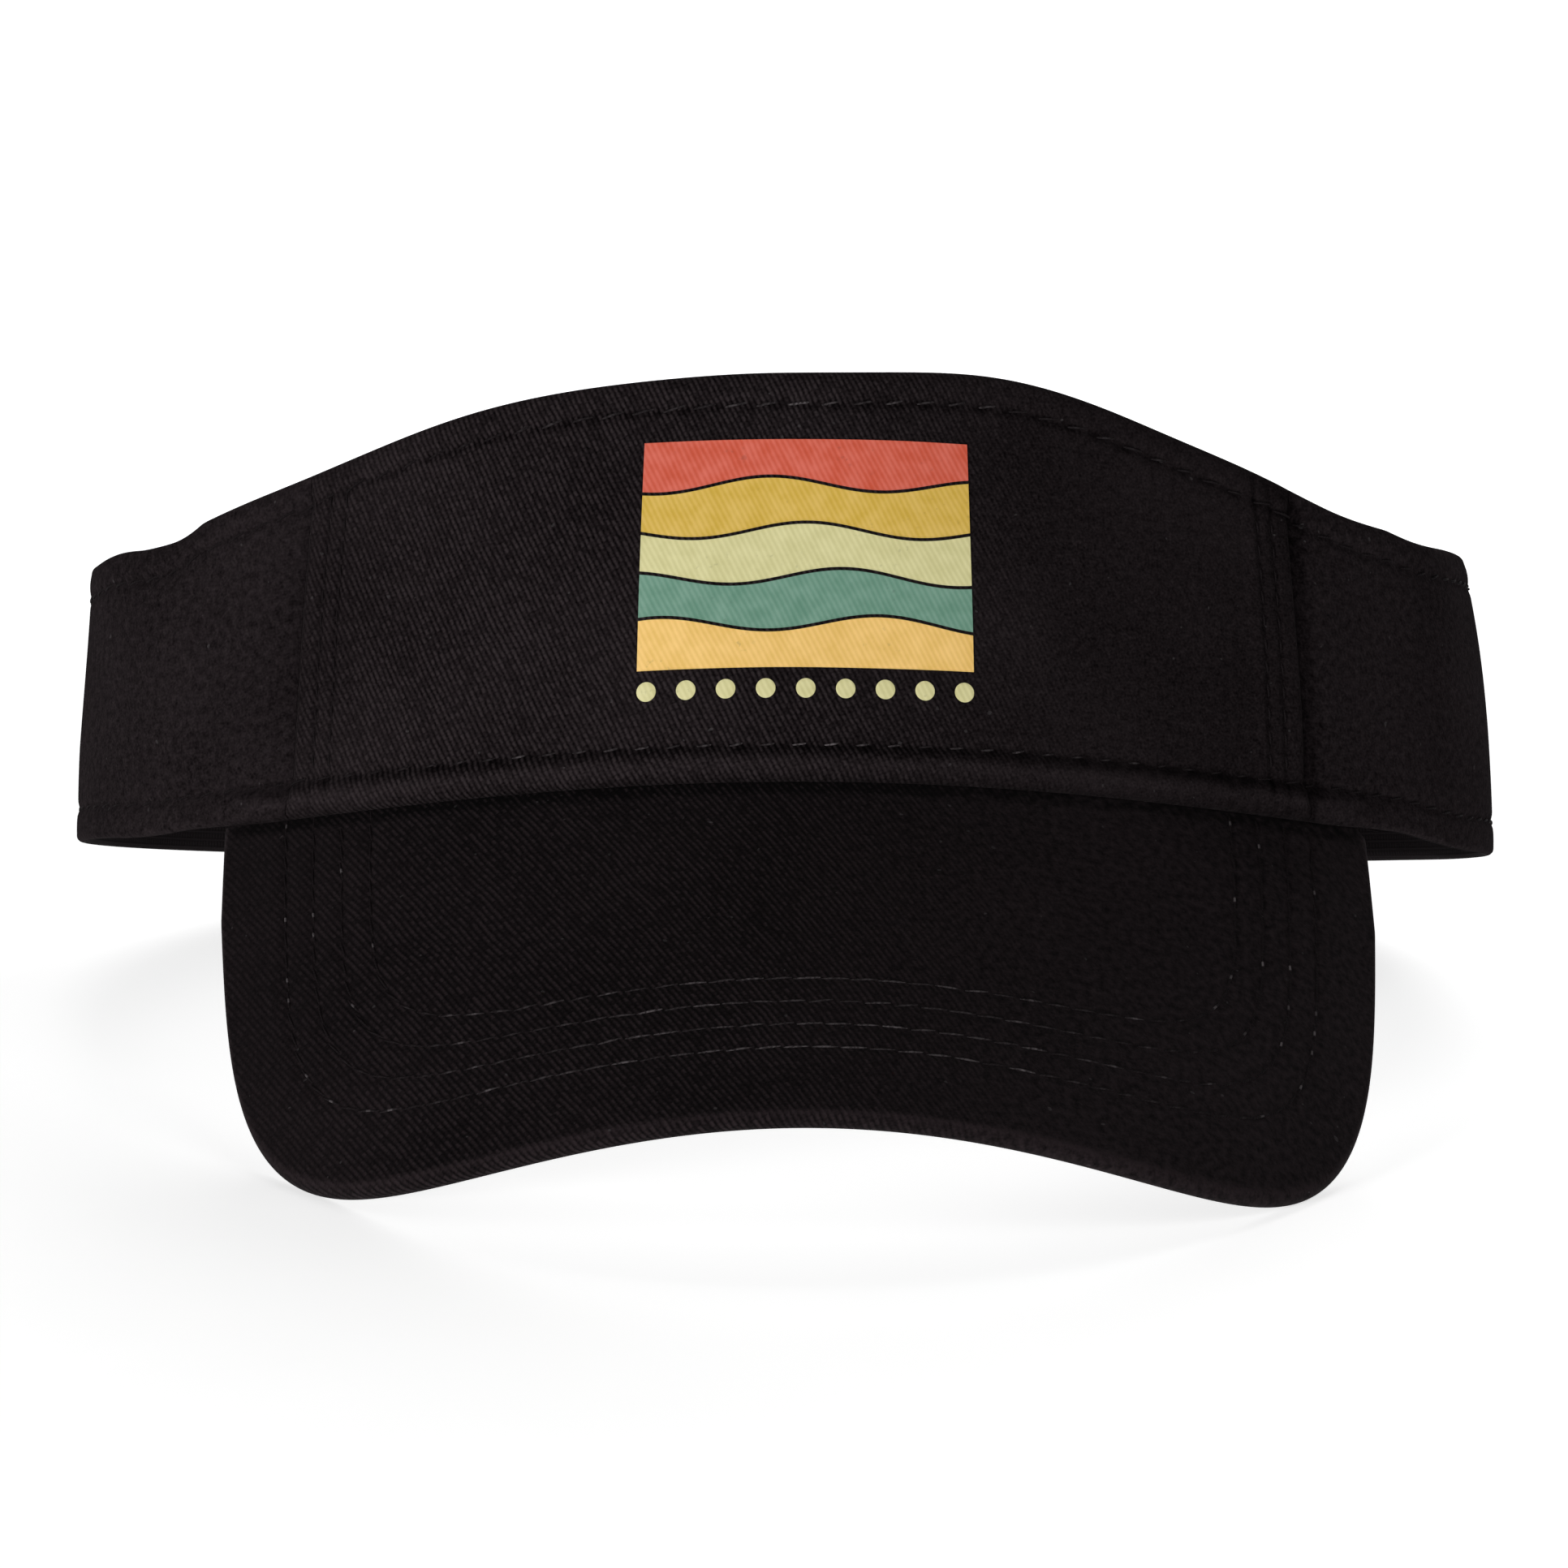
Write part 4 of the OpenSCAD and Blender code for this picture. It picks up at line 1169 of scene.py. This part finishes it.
edge_s = np.linspace(2, strap_l - tip_r, 300)
corner = np.linspace(0, np.pi / 2, 40)[1:]
corner_r = tip_r - stitch_inset
round_s = strap_l - tip_r + corner_r * np.sin(corner)
round_v = strap_w / 2 - tip_r + corner_r * np.cos(corner)
side_v = strap_w / 2 - stitch_inset
path_s = np.concatenate([edge_s, round_s, round_s[::-1], edge_s[::-1]])
path_v = np.concatenate([side_v + 0 * edge_s, round_v, -round_v[::-1], -side_v + 0 * edge_s])
path_a = np.degrees(strap_tail + path_s / arc_r)
strap_rows = [row_on(path_a, back_h / 2 + path_v, strap_mid + way * (strap_t / 2 - strap_sewn),
                     strap_pitch, way) for way in (1, -1)]
stitched = placed(sew("strap_stitches", strap_rows, length=2.4, arch=0.06, slant=5, seed=17, radius=0.16,
                      dip=0.12))
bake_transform(stitched)


# Hook tape
# The stiff half of the closure: a woven tape with rows of small nylon hooks, sewn to the inside of the
# strap's free end so that the hooks face the loops.
def hook_rows(given, length, width):
    """Rows of small hooks that hang from the tape, each row turned against the next."""
    pitch, tall = given["Pile Pitch"], given["Pile Height"]
    field = given.node("GeometryNodeMeshGrid", {
        "Size X": length - 2, "Size Y": width - 2, "Vertices X": ((length - 2) / pitch).whole(),
        "Vertices Y": ((width - 2) / pitch).whole()})
    lift = given.node("GeometryNodeSetPosition", {
        "Geometry": field, "Offset": given.point(Z=given["Base Thickness"] * -0.5)})
    path = bow(given, 6, given.point(X=tall * -0.25, Z=tall * -0.1), given.point(X=tall * 0.1, Z=tall * 1.75),
               given.point(X=tall * 0.7, Z=tall * 0.45))
    hook = spun(given, path, circle(given, 5, given["Yarn Radius"]), True)
    order = given.node("GeometryNodeInputIndex")
    jitter = given.node("FunctionNodeRandomValue", {2: -0.35, 3: 0.35, "Seed": given["Seed"]}, 1,
                        data_type="FLOAT")
    turn = given.point(X=math.pi, Z=order.math("MODULO", order, 2.0) * math.pi + jitter)
    return given.node("GeometryNodeInstanceOnPoints", {"Points": lift, "Instance": hook, "Rotation": turn})


hook_l = 51.0
hook_base = 0.42
hook_top = 2.70
hook_start = strap_tip - (patch_inset + tip_r / 3 + hook_l) / arc_r
hook_nylon = tape_finish("hook_nylon", (0.004, 0.004, 0.0043), (0.022, 0.021, 0.022), roughness=0.45,
                         specular=0.45, sheen=0.0)
show(grown("hook_tape_hooks", tape_start, tape_tree("hook_tape", hook_rows), {
    "Length": hook_l, "Width": patch_w, "Base Thickness": hook_base, "Base Out": hook_top - hook_base / 2,
    "Low Edge": patch_low, "Start Angle": hook_start, "Pile Pitch": 1.45, "Pile Height": 0.5,
    "Yarn Radius": 0.11, "Seed": 9, "Material": hook_nylon}), "hook_tape", "hook", "tab")


# Print
# A plain decoration of thin matt film, pressed on to the middle of the front with heat: five wavy bands in
# warm, faded colours over a row of dots. The ribs of the twill show through it.
print_w = 48.6
print_h = 33.0
print_low = 11.4
band_gap = 0.5
wave_h = 2.2
wave_count = 1.5
dot_d = 2.8
dot_gap = 1.6
dot_count = 9
band_count = 5
film_in = 0.05
film_t = 0.13
bands_low = print_low + dot_d + dot_gap
band_pitch = (print_h + band_gap) / band_count


def film(name, colour):
    """Matt printed film with the cloth's ribs under it and a few scuffed, rubbed places."""
    material, paint, shader = finish(name, 0.62, 0.3)
    cloth, u, v = paint.cloth()
    rib = ((u * math.sin(twill_slant) + v * math.cos(twill_slant)) / twill_pitch
           + paint.noise(cloth, 0.09, 1) * 0.9).wave()
    mottle = paint.noise(cloth, 0.35, 5)
    scuff = paint.noise(cloth, 0.9, 6).limited(0.60, 0.70) * paint.noise(cloth, 0.12, 2).limited(0.5, 0.62)
    pale = tuple(c + (1 - c) * 0.07 for c in colour)
    deep = tuple(c * 0.84 for c in colour)
    tint = (mottle * 0.8 + rib * 0.22).limited(0.2, 0.85).mixed(deep, pale)
    feed(shader, Base_Color=(scuff * 0.45).mixed(tint, tuple(c * 0.45 + 0.03 for c in colour)),
         Normal=(rib * 0.7 + mottle * 0.3).bumped(0.05 * mm, 0.5))
    return material


def wave_edge(share, edge):
    ends = edge in (0, band_count)
    wave = 0 if ends else wave_h / 2 * np.sin(2 * np.pi * wave_count * share + math.radians(60 * edge))
    return bands_low + band_pitch * edge + wave


film_colours = (("amber", (0.84, 0.52, 0.13)), ("teal", (0.115, 0.265, 0.185)),
                ("cream", (0.64, 0.60, 0.285)), ("gold", (0.64, 0.41, 0.045)), ("red", (0.61, 0.080, 0.034)))
films = {}
for order, (label, colour) in enumerate(film_colours):
    films[label] = film(label + "_film", colour)
    share = np.linspace(0, 1, 70)[:, None]
    low = wave_edge(share, order)
    high = wave_edge(share, order + 1) - band_gap
    h = low + (high - low) * np.linspace(0, 1, 12)
    a = ring_angle(print_w * (share - 0.5)) + 0 * h
    lies = outer_face(a, h) + film_in
    name = "print_" + label + "_band"
    show(ply(name, band(a, h, lies + film_t), band(a, h, lies), grid(ring_length(a), h), films[label]),
         "print_" + label + "_wave", label + "_film")

dots = bmesh.new()
side = np.linspace(-1, 1, 11)
u, v = np.meshgrid(side, side, indexing="ij")
disc = np.stack([u * np.sqrt(1 - v ** 2 / 2), v * np.sqrt(1 - u ** 2 / 2)], -1) * dot_d / 2
edge = np.maximum(np.abs(u), np.abs(v))
for order in range(dot_count):
    middle = (print_w - dot_d) * (order / (dot_count - 1) - 0.5)
    a = ring_angle(middle + disc[..., 0])
    h = print_low + dot_d / 2 + disc[..., 1]
    lies = outer_face(a, h) + film_in
    dot = ply("dot", band(a, h, lies + film_t * (1 - 0.5 * edge ** 8)), band(a, h, lies),
              grid(ring_length(a), h), films["cream"])
    dots.from_mesh(dot)
dot_mesh = bpy.data.meshes.new("print_dot_row")
dots.to_mesh(dot_mesh)
dots.free()
dot_mesh.materials.append(films["cream"])
show(dot_mesh, "print_dots", "cream_film")


# Stage
# A plain white floor and soft studio light, strongest from the front left. The camera is the photo's: level
# with the band, a little to the left of its middle and far away.
floor_half = 6.0
floor_z = -0.0001
floor_mesh = bpy.data.meshes.new("floor")
floor_mesh.from_pydata([(floor_half * x, floor_half * y, floor_z)
                        for x, y in ((-1, -1), (1, -1), (1, 1), (-1, 1))], [], [(0, 1, 2, 3)])
floor_white, paint, shader = finish("floor_white", 0.8, 0.1)
grain = paint.noise(paint.place(), 40, 3)
feed(shader, Base_Color=grain.mixed((0.86, 0.86, 0.86), (0.90, 0.90, 0.90)))
shader.inputs["Emission Color"].default_value = (1, 1, 1, 1)
shader.inputs["Emission Strength"].default_value = 0.66
floor_mesh.materials.append(floor_white)
floor = placed(floor_mesh)

light_aim = Vector((0, 0, 0.05))
for name, place, size, power in (
        ("key_light", (-1.25, -1.60, 0.24), 0.45, 31.0),
        ("fill_light", (0.85, -0.80, 0.75), 0.9, 4.2),
        ("back_light", (0.25, 1.15, 0.75), 1.0, 12.0)):
    light = bpy.data.lights.new(name, "AREA")
    light.size = size
    light.energy = power
    lamp = placed(light)
    lamp.location = place
    lamp.rotation_euler = (light_aim - Vector(place)).to_track_quat("-Z", "Y").to_euler()

world = bpy.data.worlds.new("studio")
world.use_nodes = True
world.node_tree.nodes["Background"].inputs["Color"].default_value = (1, 1, 1, 1)
world.node_tree.nodes["Background"].inputs["Strength"].default_value = 0.02
bpy.context.scene.world = world
bpy.context.scene.view_settings.view_transform = "Standard"

camera_turn = math.radians(1.9)
camera_fall = math.radians(-2.0)
camera_roll = math.radians(0.5)
camera_far = 1400.0
camera_aim = np.array([-3.0, -79.5, 6.9])
sight = np.array([math.sin(camera_turn) * math.cos(camera_fall),
                  math.cos(camera_turn) * math.cos(camera_fall), -math.sin(camera_fall)])
level = np.array([math.cos(camera_turn), -math.sin(camera_turn), 0.0])
sideways = level * math.cos(camera_roll) + np.cross(level, sight) * math.sin(camera_roll)
upright = np.cross(sideways, sight)
axes = np.array([sideways, upright, -sight]) @ ring_axes
camera_data = bpy.data.cameras.new("camera")
camera_data.lens = 227.48
camera_data.sensor_width = 36
camera_data.clip_end = 20
camera = placed(camera_data)
camera.matrix_world = Matrix.Translation(on_table(camera_aim - camera_far * sight)) @ Matrix(axes.T).to_4x4()
bpy.context.scene.camera = camera
